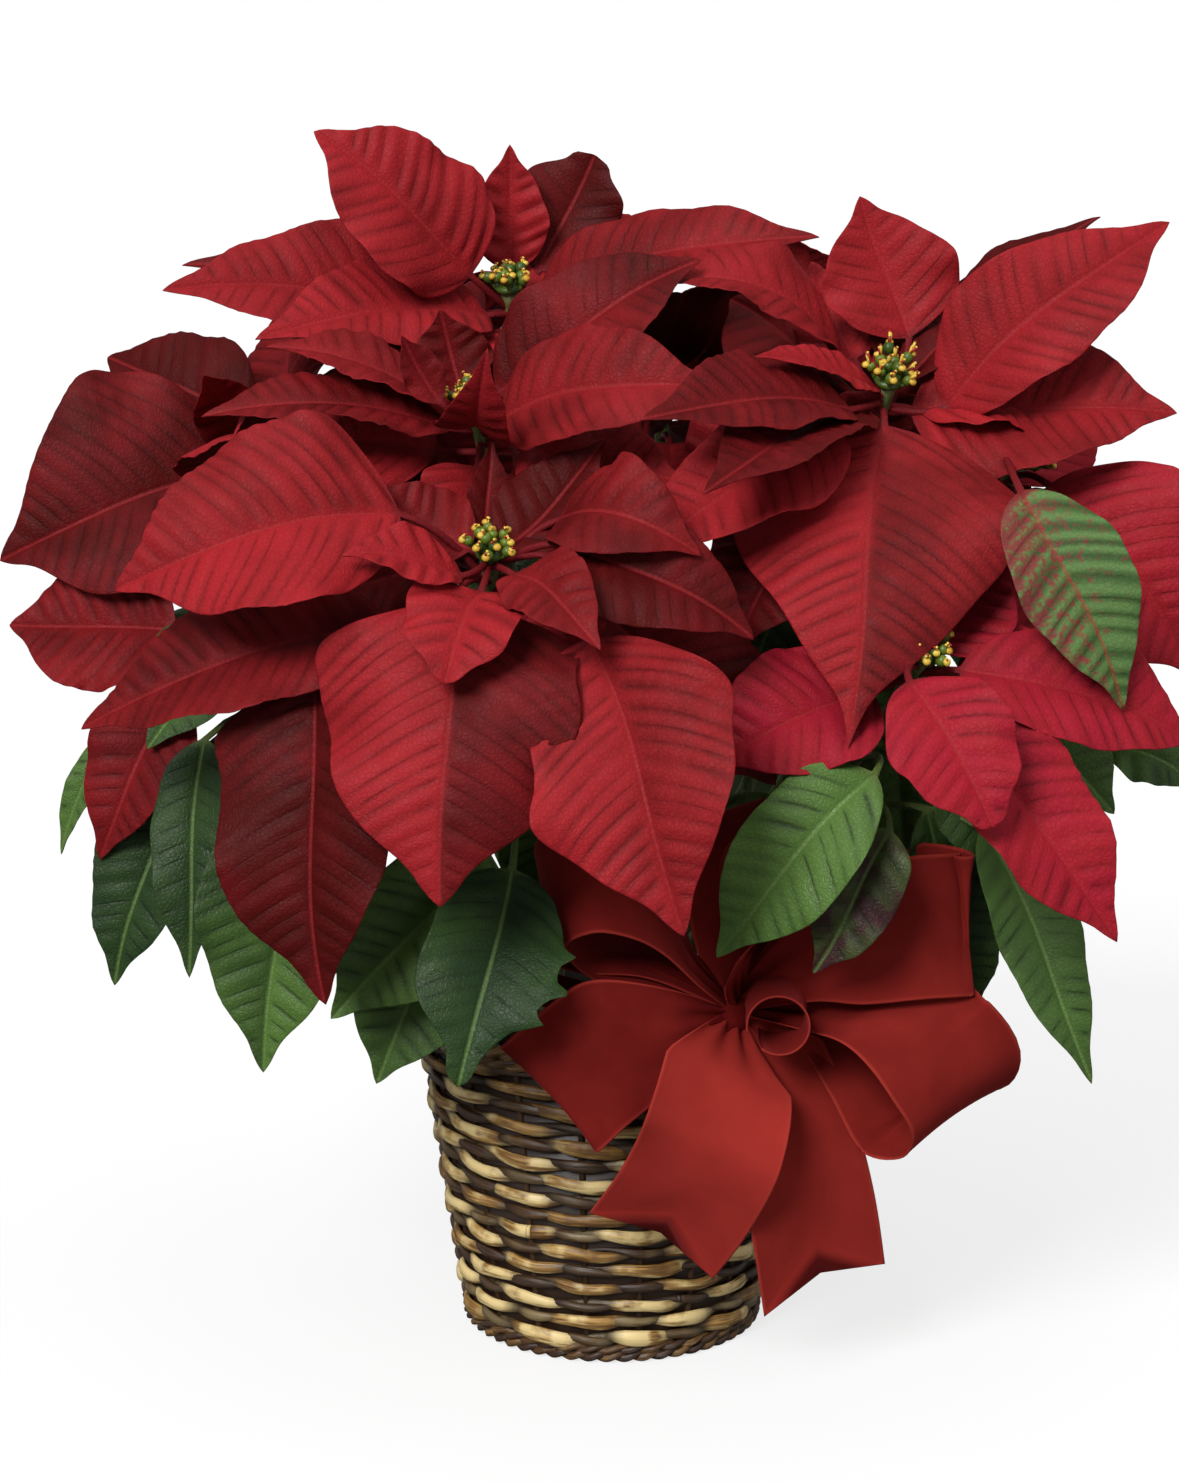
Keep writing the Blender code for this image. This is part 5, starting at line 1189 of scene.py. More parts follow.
# One blade, closed, with its stalk. Along the midrib v runs from 0 to 1 and across it u from -1 to
# 1; the middle surface is the CAD's: base + along length v + normal 4 arch v (1 - v) + side half u,
# lifted by half |u| (fold + wave |u|). On that come: a tip drawn out to a point, an uneven margin,
# a twist and a sway, ruffles towards the margin, a puff in each half, a groove on the midrib, and
# pleats sin^2(pi n) between side veins, where the vein number n is (v length - slant |x| - bend
# x^2) / step and drifts a little. The skin is offset to both sides by half the thickness times
# sqrt(1 - u^60), so that its edges close, and a rib runs below the midrib.
def fineBlade(leaf, number, kind, pleat, behind=False):
    b = bladeMake
    draw = random.Random(number * 31 + 7)
    root = np.array(leaf["root"], dtype=float)
    base, length, along, normal, side = bladeFrame(leaf)
    wide = leaf["width"] > b["wideFrom"] and not behind
    oneHalf = np.array(b["wideHalf" if wide else "narrowHalf"], dtype=float)
    top = np.concatenate((-oneHalf[:0:-1], oneHalf))
    u, upper = bothFaces(top)
    v = (np.linspace(0.0, 1.0, b["wideRows" if wide else "narrowRows"]) ** 1.05)[:, None]
    v[-1] = 0.9995
    left, right, shape = (draw.uniform(0, 6.28) for k in range(3))
    twist = draw.uniform(-b["twist"], b["twist"]) * np.sin(math.pi * v)
    leftShare, rightShare = (draw.uniform(*b["pleatShare"]) for k in range(2))

    # half width
    outline = bladeOutline(v, leaf["fall"])
    lost, place, spread = b["tipPinch"]
    pinched = 1.0 - lost * np.exp(-((v - place) / spread) ** 2)
    (wide1, turns1), (wide2, turns2) = b["marginDrift"]
    uneven = (1.0 + wide1 * np.sin(turns1 * v + np.where(u < 0, left, right))
              + wide2 * np.sin(turns2 * v + np.where(u < 0, right, left)))
    half = np.maximum(0.5 * leaf["width"] * outline * pinched, stalkHalf * np.sqrt(1.0 - v)) * uneven
    for place, sideways, amount, spread in leaf.get("lobes", ()):
        half = half * (1.0 + amount * np.exp(-((v - place) / spread) ** 2) * (u * sideways > 0))
    x = half * u
    distance = np.abs(x)

    # directions at each station
    slope = 4.0 * leaf["arch"] / length * (1.0 - 2.0 * v)
    twist = twist + leaf.get("roll", 0.0) * np.minimum(1, 5 * v)
    across = np.cos(twist) * side + np.sin(twist) * normal
    station = np.cos(twist) * normal - np.sin(twist) * side - slope * along
    station = station / np.linalg.norm(station, axis=1, keepdims=True)

    # height over the middle surface
    wave = marginWave * outline * np.sin(9.0 * v + leaf["phase"] + 1.3 * np.sign(u))
    high, turns = b["ruffle"]
    ruffle = high * outline * np.sin(turns * v + shape + 2.1 * np.sign(u)) * np.abs(u) ** 2
    puffed = b["puff"] * np.sin(math.pi * np.abs(u)) * np.minimum(1, half / 8)
    lift = half * np.abs(u) * (leaf["fold"] + (wave + ruffle) * np.abs(u)) + half * puffed
    step = length / max(4, round(length / b["veinStep"]))
    vein = (v * length - b["veinSlant"] * distance - b["veinBend"] * distance ** 2) / step
    (far1, often1), (far2, often2) = b["veinDrift"]
    vein = vein + far1 * np.sin(often1 * vein + shape + np.sign(u)) + far2 * np.sin(often2 * vein + left)
    fade = smoothStep(0.8, 6.0, distance) * (1.0 - 0.45 * smoothStep(0.75, 1.0, np.abs(u)))
    strength = pleat * np.where(u < 0, leftShare, rightShare)
    pleated = strength * fade * np.minimum(1.0, half / 14.0) * (np.sin(math.pi * vein) ** 2 - 0.5)
    groove = -b["grooveDepth"] * np.exp(-(x / b["grooveReach"]) ** 2) * smoothStep(0.0, 0.08, v)
    closing = np.sqrt(np.maximum(0.0, 1.0 - np.abs(u) ** 60))
    rib = (b["ribDepth"] - b["thickness"]) * np.exp(-(x / b["ribReach"]) ** 2) * (1.0 - v) ** 0.7
    skin = closing * np.where(upper > 0, 0.5 * b["thickness"], -0.5 * b["thickness"] - rib)

    rise = 4.0 * leaf["arch"] * v * (1.0 - v)
    sway = b["sway"] * length * math.sin(shape) * np.sin(2 * math.pi * v)
    centre = base + along * (length * v) + normal * rise + side * sway
    blade = (centre[:, None] + across[:, None] * x[..., None]
             + station[:, None] * (lift + pleated + groove + skin)[..., None])
    stalk, before = stalkRings(root, base, along, side, u, upper)
    rings = np.vstack((stalk, blade))

    # one painted lightness for the blade, or one for each half, first the half on u > 0: painted light
    # and shade where a table gives it, and a random tone elsewhere
    tone = leaf.get("tone", draw.uniform(0.2, 0.9))
    plus, minus = tone if isinstance(tone, tuple) else (tone, tone)
    tone = minus + (plus - minus) * smoothStep(-0.06, 0.06, u)
    count = len(stalk)
    flat = np.ones(rings.shape[:2])
    onStalk = np.concatenate((np.ones(count), np.clip(1.0 - v[:, 0] * length / 4.0, 0, 1)))[:, None]
    marks = {
        "leafPlace": np.stack((np.vstack((0 * stalk[..., 0], x)), np.vstack((before, v * length)) * flat,
                               np.vstack((0 * stalk[..., 0] + 0.5, vein))), axis=-1),
        "leafToneAndShade": np.stack((flat * tone, flat * (upper < 0), flat * kind), axis=-1),
        "leafEdge": np.stack((flat * u, onStalk * flat, np.vstack((np.zeros((count, 1)), v)) * flat),
                             axis=-1),
    }
    return loftedSkin(rings, marks, 0, len(top))


def plainLeafMarks(tone):
    return {"leafPlace": np.array((0.0, 0.0, 0.5)), "leafToneAndShade": np.array((tone, 0.0, 0.0)),
            "leafEdge": np.array((0.0, 1.0, 0.0))}


# Blooms: each has its bracts on a woody tip that swells under the flowers.
# Painted light and shade: how light each bract is that the photograph shows, from 0 (shaded) to 1,
# by the bract's tip, for the whole or for each half, and where a margin bulges: (place along, side,
# share of the half width, spread)
bloomLook = {
    "pink": {"lower_right": 0.9, "right_edge": 0.7},     # blooms whose bracts are pinker
    "blotched": [(204, -138, 307)],                      # bracts that have turned only in part
    "paintedLightAndShade": {
        (-68, -205, 243): (0.66, 0.24), (26, -205, 232): (0.62, 0.52), (-198, -150, 358): (0.48, 0.72),
        (-115, -178, 196): (0.10, 0.0),
        (-216, -130, 298): 0.35, (55, -155, 339): 0.15, (-106, -175, 376): 0.70, (-66, -182, 326): 0.75,
        (-6, -185, 340): 0.35, (-4, -102, 412): 0.05, (-50, -104, 414): 0.15, (-99, -118, 396): 0.35,
        (-74, -94, 410): 0.10, (34, -125, 366): 0.30, (66, -118, 272): 0.25, (93, -150, 294): (0.72, 0.38),
        (11, -50, 471): 0.45, (34, -125, 390): 0.20, (10, -100, 416): 0.25, (105, -10, 505): 0.55,
        (234, -10, 491): 0.60, (236, -60, 419): 0.45, (212, 20, 495): 0.05, (146, -196, 272): 0.90,
        (199, -175, 221): (0.75, 0.95), (239, -120, 287): 0.60, (40, -120, 280): 0.60, (-128, 0, 532): 0.62,
        (-45, 34, 525): 0.60, (-8, 50, 520): 0.05, (-150, -50, 448): 0.65, (-192, -20, 466): 0.50,
        (-188, 20, 474): 0.15, (88, -10, 488): 0.40, (39, 70, 488): 0.70, (36, -50, 480): 0.20,
        (43, -110, 435): 0.40, (-170, -80, 419): 0.30, (-145, -50, 444): 0.40, (28, -140, 404): 0.50,
        (-267, -10, 348): 0.20, (-262, -60, 330): 0.35, (-228, 26, 438): 0.0, (-218, -75, 230): 0.35,
        (247, -60, 306): 0.80, (134, -2, 478): 0.05, (30, 20, 462): 0.05, (66, 30, 428): 0.0,
        (92, 52, 438): 0.0,
    },
    "rolls": {(26, -205, 232): -0.36},     # a blade turned about its own midrib, in radians
    "lobes": {
        (-68, -205, 243): [(0.13, 1, 0.32, 0.11), (0.10, -1, 0.30, 0.10)],
        (26, -205, 232): [(0.58, 1, 0.16, 0.10), (0.30, -1, 0.12, 0.10)],
        (-115, -178, 196): [(0.16, 1, 0.40, 0.10)],
        (-128, 0, 532): [(0.55, 1, -0.12, 0.25)],
        (-267, -10, 348): [(0.45, 1, 0.35, 0.20)],
        (199, -175, 221): [(0.28, -1, 0.15, 0.12)],
        (93, -150, 294): [(0.14, 1, 0.16, 0.08), (0.20, -1, 0.12, 0.09)],
    },
}


def buildBloom(bloom, leaves, number):
    centre, axis = flowerFrame(bloom)[:2]
    behind = bloom.startswith("back")
    skins = []
    for k, leaf in enumerate(leaves):
        kind = bloomLook["pink"].get(bloom, 0.0)
        row = leaf.get("row", ())
        if row in bloomLook["blotched"]:
            kind = 2.0
        # painted light and shade for the bracts that the table lists
        if row in bloomLook["paintedLightAndShade"]:
            leaf["tone"] = bloomLook["paintedLightAndShade"][row]
        leaf["lobes"] = bloomLook["lobes"].get(row, ())
        leaf["roll"] = bloomLook["rolls"].get(row, 0.0)
        skins.append(fineBlade(leaf, number * 40 + k, kind, bladeMake["bractPleat"], behind))
    s = np.linspace(0.0, 1.0, 9)
    path = centre - axis * (axisLength * (1.0 - s))[:, None]
    radius = axisRadius * (0.86 + 0.14 * smoothStep(0.4, 1.0, s)) * (1 + 0.05 * np.sin(9 * s))
    skins.append(tubeSkin(path, radius, 14, plainLeafMarks(0.4), 1))
    obj = joinedObject("bracts_" + bloom, skins, [bractSkin, stemBark])
    attach(obj, "bracts", bloomNode(bloom))


for number, bloom in enumerate(bloomTable):
    buildBloom(bloom, bloomBracts[bloom], number)
stage("bracts made")

# Flowers: green cups, each with a yellow gland at its lip and a few red-tipped stamens, on short
# stalks over the bloom's disc
flowerLook = {
    "count": 11, "spread": 9.0, "tall": {"right": 1.7, "back": 1.3},
    # forms as radii and heights
    "disc": ([3.2, 6.0, 6.4, 4.6, 1.5], [0.0, 1.4, 3.0, 4.0, 4.3]),
    "cup": ([0.6, 1.7, 2.3, 2.2, 1.5, 0.5], [0.0, 0.9, 2.3, 3.8, 4.8, 5.1]),
    "gland": ([0.5, 1.5, 1.8, 1.3, 0.4], [0.0, 0.4, 1.2, 2.0, 2.3]),
    "anther": ([0.3, 0.62, 0.62, 0.2], [0.0, 0.25, 0.7, 0.95]),
}


# A form turned round an axis: each station has a radius and a height along the axis.
def turnedSkin(origin, axis, first, second, radii, heights, around, marks, slot=0):
    a = np.linspace(0.0, 2 * math.pi, around, endpoint=False)
    ring = np.cos(a)[:, None] * first + np.sin(a)[:, None] * second
    rings = (origin + np.asarray(heights)[:, None, None] * axis
             + np.asarray(radii)[:, None, None] * ring[None])
    return loftedSkin(rings, marks, slot)


def buildFlowers(bloom, number):
    centre, axis, first, second = flowerFrame(bloom)
    draw = random.Random(number * 13 + 5)
    low = centre + axis * fitGap
    tall = flowerLook["tall"].get(bloom, 1.0)
    skins = []

    def mark(part, tone):
        return {"flowerPart": np.array((part, tone, 0.0))}

    skins.append(turnedSkin(low, axis, first, second, *flowerLook["disc"], 14, mark(0.0, 0.2)))
    for k in range(flowerLook["count"]):
        angle = k * goldenAngle
        reach = flowerLook["spread"] * math.sqrt((k + 0.3) / flowerLook["count"])
        way = first * math.cos(angle) + second * math.sin(angle)
        lean = unit(axis + way * (0.06 * reach))
        origin = low + way * reach * 0.72 + axis * 1.6
        high = draw.uniform(1.5, 4.0) * tall + 1.0
        size = draw.uniform(0.85, 1.15)
        one = unit(np.cross(lean, (0.3, 1.0, 0.2)))
        two = np.cross(lean, one)
        skins.append(tubeSkin(np.array([origin, origin + lean * high]), 0.75, 6, mark(0.0, 0.6)))
        radii, heights = np.array(flowerLook["cup"]) * size
        skins.append(turnedSkin(origin, lean, one, two, radii, high + heights, 10, mark(0.0, draw.random())))
        lip = origin + lean * (high + 4.2 * size) + unit(way + one * draw.uniform(-0.6, 0.6)) * 1.9
        skins.append(turnedSkin(lip - lean * 1.2, lean, one, two, *flowerLook["gland"], 8,
                                mark(1.0, draw.random())))
        for n in range(3):
            turn = draw.uniform(0, 6.28)
            out = one * math.cos(turn) + two * math.sin(turn)
            start = origin + lean * (high + 4.6 * size)
            end = start + lean * draw.uniform(1.2, 2.4) * tall ** 1.5 + out * draw.uniform(0.4, 1.3)
            skins.append(tubeSkin(np.array([start, end]), 0.3 * tall ** 1.5, 5, mark(1.0 if n else 2.0, 0.8)))
            skins.append(turnedSkin(end - lean * 0.3, lean, one, two, *flowerLook["anther"], 6,
                                    mark(2.0 if n == 2 else 1.0, 0.9)))
    obj = joinedObject("flowers_" + bloom, skins, [flowerWax])
    attach(obj, "flowers", "bloom_" + bloom + "_flowers")


for number, bloom in enumerate(bloomTable):
    buildFlowers(bloom, number)
stage("flowers made")

# Green plants: trunks in the soil, a branch to each bloom, and the foliage
plantLook = {
    "trunkRadius": 5.9, "branchRadius": 3.5, "trunkBottom": 78.0, "joints": 6, "jointSwell": 0.10,
    "dark": [(80, -150, 201)],             # a leaf that has half turned
    # painted light and shade: how light the leaves are that the photograph shows, by the leaf's tip
    "paintedLightAndShade": {
        (41, -170, 212): (0.95, 0.80), (80, -150, 201): 0.5, (199, -120, 145): 0.45, (157, -90, 162): 0.25,
        (211, -80, 251): 0.45, (250, -60, 257): 0.4, (-213, -90, 178): 0.15, (-177, -110, 188): 0.15,
        (-145, -130, 153): (0.35, 0.85), (-116, -140, 179): (0.55, 0.85), (-99, -120, 145): 0.5,
        (-63, -134, 152): 0.15,
    },
    "toothed": [(-63, -134, 152)],
    # a toothed leaf's margin: (place along, side, share of the half width, spread)
    "teeth": [(0.40, -1, 0.20, 0.028), (0.56, -1, 0.28, 0.028), (0.70, -1, 0.42, 0.028),
              (0.85, -1, -0.45, 0.22), (0.86, 1, -0.3, 0.1)],
}


def buildPlant(plant, leaves, number):
    x, y = plantPlaces[plant]
    s = np.linspace(0.0, 1.0, 24)
    heights = plantLook["trunkBottom"] + (trunkTop - plantLook["trunkBottom"]) * s
    path = np.stack((np.full(24, x), np.full(24, y), heights), axis=1)
    radius = plantLook["trunkRadius"] * (1.0 - 0.06 * s + 0.03 * np.sin(23 * s) * (heights > 125))
    skins = [tubeSkin(path, radius, 20, plainLeafMarks(0.5), 1)]
    for bloom in bloomTable:
        if bloomTable[bloom][0] == plant:
            points = branchPoints(bloom)
            fine = smoothPath(points, 40)
            t = np.linspace(0.0, 1.0, 40)
            fromJoint = t * plantLook["joints"] % 1 - 0.5
            swell = (1.0 + plantLook["jointSwell"] * np.exp(-(fromJoint / 0.10) ** 2)
                     + 0.35 * np.exp(-t / 0.06))
            skins.append(tubeSkin(fine, plantLook["branchRadius"] * swell, 14, plainLeafMarks(0.5), 1))
    for k, leaf in enumerate(leaves):
        row = leaf.get("row", ())
        kind = 1.0 if row in plantLook["dark"] else 0.0
        # painted light and shade for the leaves that the table lists
        if row in plantLook["paintedLightAndShade"]:
            leaf["tone"] = plantLook["paintedLightAndShade"][row]
        if row in plantLook["toothed"]:
            leaf["lobes"] = plantLook["teeth"]
        skins.append(fineBlade(leaf, 1000 + number * 40 + k, kind, bladeMake["leafPleat"]))
    obj = joinedObject("foliage_" + plant, skins, [leafSkin, stemBark])
    attach(obj, "leaves", plant)


for number, plant in enumerate(plantPlaces):
    buildPlant(plant, plantLeaves[plant], number)
stage("foliage made")

# Basket: pairs of rods, one pale and one stained, cross between the stakes in every row, and the
# next row is set half a step on. A row's path is a circle whose radius goes in and out by a cosine.
basketMake = {
    "baseRadius": 65.0, "rimRadius": 87.0, "height": 147.0, "wall": 4.5, "floor": 4.0,
    "rows": 16, "periods": 9, "low": 7.0, "high": 140.0,
    "rodHigh": 3.25, "rodThick": 1.6, "inAndOut": 2.1, "slant": (0.2, 1.0), "pinch": 0.42,
    # the pale rod of a pair and then the stained one: how much more it is outside, and its height
    "outside": (0.10, -0.50), "heights": (1.0, 0.72),
    "wobbles": ((0.5, 3), (0.4, 7), (0.35, 17)),     # mm up and down, and how often round
    "stakeRadius": 1.5,
    # two rods twisted round each other, at the rim and, darker, at the foot: height, radius,
    # thickness, twists and stain
    "borders": ((143.6, 85.8, 2.3, 30, 0.25), (138.8, 86.0, 2.0, 26, 0.6),
                (3.0, 64.8, 1.9, 26, 1.0), (6.6, 65.6, 1.6, 22, 0.95)),
    "seed": 5,
}


def weaveRadius(height):
    b = basketMake
    return b["baseRadius"] + (b["rimRadius"] - b["baseRadius"]) * height / b["height"]


# A rod round the basket: at each angle its middle has a radius and a height, and its section is a
# rounded oval with the half axes high and thick. along is its length so far, and number tells it
# from other rods.
def rodSkin(angles, radius, height, high, thick, along, tone, number):
    around = 8
    a = np.linspace(0.0, 2 * math.pi, around, endpoint=False)
    out = np.stack((np.cos(angles), np.sin(angles), np.zeros_like(angles)), axis=1)
    up = np.array((0.0, 0.0, 1.0))
    section = (np.sign(np.cos(a)) * np.abs(np.cos(a)) ** 0.8, np.sign(np.sin(a)) * np.abs(np.sin(a)) ** 0.8)
    rings = (out[:, None] * (radius[:, None] + thick[:, None] * section[0][None])[..., None]
             + up * (height[:, None] + high[:, None] * section[1][None])[..., None])
    marks = {
        "rodPlace": np.stack((np.broadcast_to(along[:, None], (len(angles), around)),
                              np.broadcast_to(a[None] * 3.0, (len(angles), around)),
                              np.full((len(angles), around), number)), axis=-1),
        "rodStainAndShade": np.broadcast_to(tone[:, None], (len(angles), around, 3)),
    }
    return rings, marks


def buildBasket():
    b = basketMake
    draw = random.Random(b["seed"])
    steps = b["periods"] * 16
    skins = []
    pitch = (b["high"] - b["low"]) / b["rows"]
    for row in range(b["rows"]):
        slant = draw.uniform(*b["slant"])
        for strand in range(2):
            start = draw.uniform(0, 2 * math.pi)
            a = start + np.linspace(0.0, 2 * math.pi * 1.004, steps + 1)
            turn = b["periods"] * a + math.pi * row + math.pi * strand
            wobble = sum(far * np.sin(often * a + draw.uniform(0, 6.28)) for far, often in b["wobbles"])
            turn = turn + 0.35 * np.sin(4 * a + draw.uniform(0, 6.28)) + draw.uniform(-0.3, 0.3)
            over = np.cos(turn) + b["outside"][strand]
            height = b["low"] + pitch * (row + 0.5) + wobble - slant * np.sin(turn)
            radius = (weaveRadius(height) - 0.4 + b["inAndOut"] * np.clip(over, -1.0, 1.0)
                      + 0.25 * np.sin(5 * a + draw.uniform(0, 6.28)))
            pinch = 1.0 - b["pinch"] * smoothStep(0.75, -0.9, over)
            high = (b["rodHigh"] * draw.uniform(0.86, 1.08) * pinch * (1 + 0.12 * np.sin(11 * a + start))
                    * b["heights"][strand])
            thick = np.full(len(a), b["rodThick"] * draw.uniform(0.9, 1.1))
            stained = np.full(len(a), float(strand))
            if strand == 1:
                stained = stained * draw.uniform(0.75, 1.0)
            # painted shade where the rod passes in behind a stake
            under = smoothStep(0.45, -0.60, over) * 0.9
            # each span of a rod is a little lighter or darker than the next at random, and painted light
            # makes the lower rows lighter and painted shade the upper ones darker
            spans = np.array([draw.random() for k in range(2 * b["periods"] + 4)])
            spans = spans + 0.35 - 0.7 * row / b["rows"]
            light = spans[np.floor((turn - turn.min()) / (2 * math.pi) + 0.5).astype(int) % len(spans)]
            tone = np.stack((stained, under, light), axis=1)
            rings, marks = rodSkin(a, radius, height, high, thick, weaveRadius(height) * (a - start), tone,
                                   draw.random() * 10)
            skins.append(loftedSkin(rings, marks))
    # stakes: upright rods behind the weave, seen only in its gaps, stained and with painted shade
    for k in range(2 * b["periods"]):
        a = math.pi * k / b["periods"]
        z = np.linspace(4.5, b["height"] - 4.0, 20)
        r = weaveRadius(z) - 2.2
        path = np.stack((r * math.cos(a), r * math.sin(a), z), axis=1)
        marks = {"rodPlace": np.array((0.0, 0.0, k * 0.7)), "rodStainAndShade": np.array((0.9, 0.4, 0.0))}
        skins.append(tubeSkin(path, b["stakeRadius"], 8, marks))
    for height, radius, thin, twists, stained in b["borders"]:
        for strand in range(2):
            a = np.linspace(0.0, 2 * math.pi * 1.002, 289)
            turn = twists * a + math.pi * strand
            ringRadius = radius + 1.25 * np.cos(turn)
            ringHeight = height + 1.1 * np.sin(turn)
            tone = np.stack((np.full(len(a), stained * (0.5 if strand else 1.0)), np.zeros(len(a)),
                             np.zeros(len(a))), axis=1)
            rings, marks = rodSkin(a, ringRadius, ringHeight, np.full(len(a), thin), np.full(len(a), thin),
                                   radius * a, tone, draw.random() * 10)
            skins.append(loftedSkin(rings, marks))
    obj = joinedObject("woven_basket", skins, [rodWillow])
    attach(obj, "basket", "basket")
    # lining: the inner face and the floor, one turned skin, stained and with painted shade
    top = b["height"] - 4.0
    profile = [(0.3, 0.0), (b["baseRadius"] - 2.5, 0.0), (b["baseRadius"] - 1.6, 2.0),
               (weaveRadius(top) - 2.6, top), (weaveRadius(top) - b["wall"], top),
               (weaveRadius(b["floor"]) - b["wall"], b["floor"]), (0.3, b["floor"])]
    marks = {"rodPlace": np.array((0.0, 0.0, 0.3)), "rodStainAndShade": np.array((1.0, 0.7, 0.0))}
    radii, heights = zip(*profile)
    skin = turnedSkin(np.zeros(3), np.array((0, 0, 1.0)), np.array((1.0, 0, 0)), np.array((0, 1.0, 0)),
                      radii, heights, 72, marks)
    lining = joinedObject("basket_lining", [skin], [rodWillow])
    attach(lining, "basket", "basket")


buildBasket()
stage("basket made")

# Ribbon: cloth up to 66 mm wide, wired along both edges, gathered at the knot

ribbonMake = {
    "stations": 64, "columns": 25, "thickness": 0.55, "edgeWire": 1.3,
    "pleats": 3.0, "pleatDepth": 2.6,
}


# A band of ribbon: across u from -1 to 1 it is path + across half u, raised by a pleat
# depth cos(pi n u) that fades away from the knot, by a slow ripple where it is open, and by a crown
# in its middle; the section closes with a thicker wired edge.
def ribbonSkin(path, across, half, gathered, crown, tone, seedNumber, endCut=None):
    draw = random.Random(seedNumber)
    n = len(path)
    columns = ribbonMake["columns"]
    top = np.sin(np.linspace(-math.pi / 2, math.pi / 2, columns) * 0.92) / math.sin(math.pi / 2 * 0.92)
    u, upper = bothFaces(top)
    tangent = np.gradient(path, axis=0)
    tangent /= np.linalg.norm(tangent, axis=1, keepdims=True)
    up = np.cross(across, tangent)
    s = np.linspace(0.0, 1.0, n)[:, None]
    gathered = gathered[:, None]
    pleat = (ribbonMake["pleatDepth"] * gathered
             * np.cos(math.pi * ribbonMake["pleats"] * u + draw.uniform(0, 3.0)))
    ripple = 0.5 * np.sin(2 * math.pi * (1.3 * s + 0.35 * u) + draw.uniform(0, 6.28)) * (1 - gathered)
    arch = crown * (1 - u ** 2) * half[:, None] * (1 - 0.5 * gathered)
    wired = np.exp(-((np.abs(u) - 0.985) / 0.022) ** 2)
    closing = np.sqrt(np.maximum(0.0, 1.0 - np.abs(u) ** 40))
    swell = (ribbonMake["edgeWire"] - ribbonMake["thickness"]) * wired
    thick = 0.5 * (ribbonMake["thickness"] + swell) * closing
    x = half[:, None] * u
    middle = path[:, None] + across[:, None] * x[..., None]
    if endCut is not None:
        middle = middle + endCut(s, u)
    grid = middle + up[:, None] * (pleat + ripple + arch + upper * thick)[..., None]
    length = np.concatenate(([0.0], np.cumsum(np.linalg.norm(np.diff(path, axis=0), axis=1))))
    # the lightness mark is the piece's painted light, with painted shade in the gathers by the knot
    marks = {"ribbonPlace": np.stack((np.broadcast_to(length[:, None], x.shape), x,
                                      np.broadcast_to(np.abs(u), x.shape)), axis=-1),
             "ribbonPaintedLight": np.stack((tone - 0.4 * gathered + 0 * u, 0 * x, 0 * x), axis=-1)}
    return loftedSkin(grid, marks, 0, columns), length[-1]


# A loop between two edges: the middle line is (top + foot) / 2 and the half width |foot - top| / 2.
def panelLoop(top, foot, width, count):
    first = smoothPath([np.array(p, dtype=float) for p in top], count)
    second = smoothPath([np.array(p, dtype=float) for p in foot], count)
    wide = np.linalg.norm(second - first, axis=1)
    gathered = 1.0 - np.minimum(1.0, wide / (0.8 * width))
    return (first + second) / 2, (second - first) / wide[:, None], wide / 2, gathered


bowLook = {
    # the lower left loop is a flat panel to its fold: its upper and its lower edge, out and back
    "panelTop": [(48, -111, 175), (22, -130, 189), (-9, -142, 196), (-27, -147, 187), (-45, -144, 170),
                 (-43, -134, 168), (-22, -124, 177), (7, -114, 180), (48, -106, 174)],
    "panelFoot": [(53, -110, 169), (32, -124, 156), (17, -130, 140), (5, -135, 131), (-6, -139, 122),
                  (-6, -130, 122), (8, -121, 134), (29, -112, 154), (53, -105, 168)],
    # how far the points of each tail lie in front of the plain one's, and how fast each tail opens
    "tailForward": ((15.0, 20.0, 15.0, 8.0), (0.0, 2.0, 4.0, 4.0)), "tailOpening": (4.0, 3.4),
    # painted light and shade of each loop, the centre loop, the knot and each tail, from 0 (shaded) to 1
    "paintedLightAndShade": (0.24, 0.28, 0.20, 0.22, 0.36, 0.44, 0.42), "ringPaintedLight": 0.28, "knotPaintedLight": 0.05,
    "tailPaintedLight": (0.80, 0.62),
    "knotRadius": 8.0, "knotDepth": 7.5, "knotPleats": 7, "knotPleatDepth": 0.07,
}

ribbonNames = ["loop_low_left", "loop_upper_left", "loop_far_left", "loop_band", "loop_upper",
               "loop_upper_right", "loop_right"]


def declareRibbon(obj):
    attach(obj, "ribbon", "ribbon_bow")


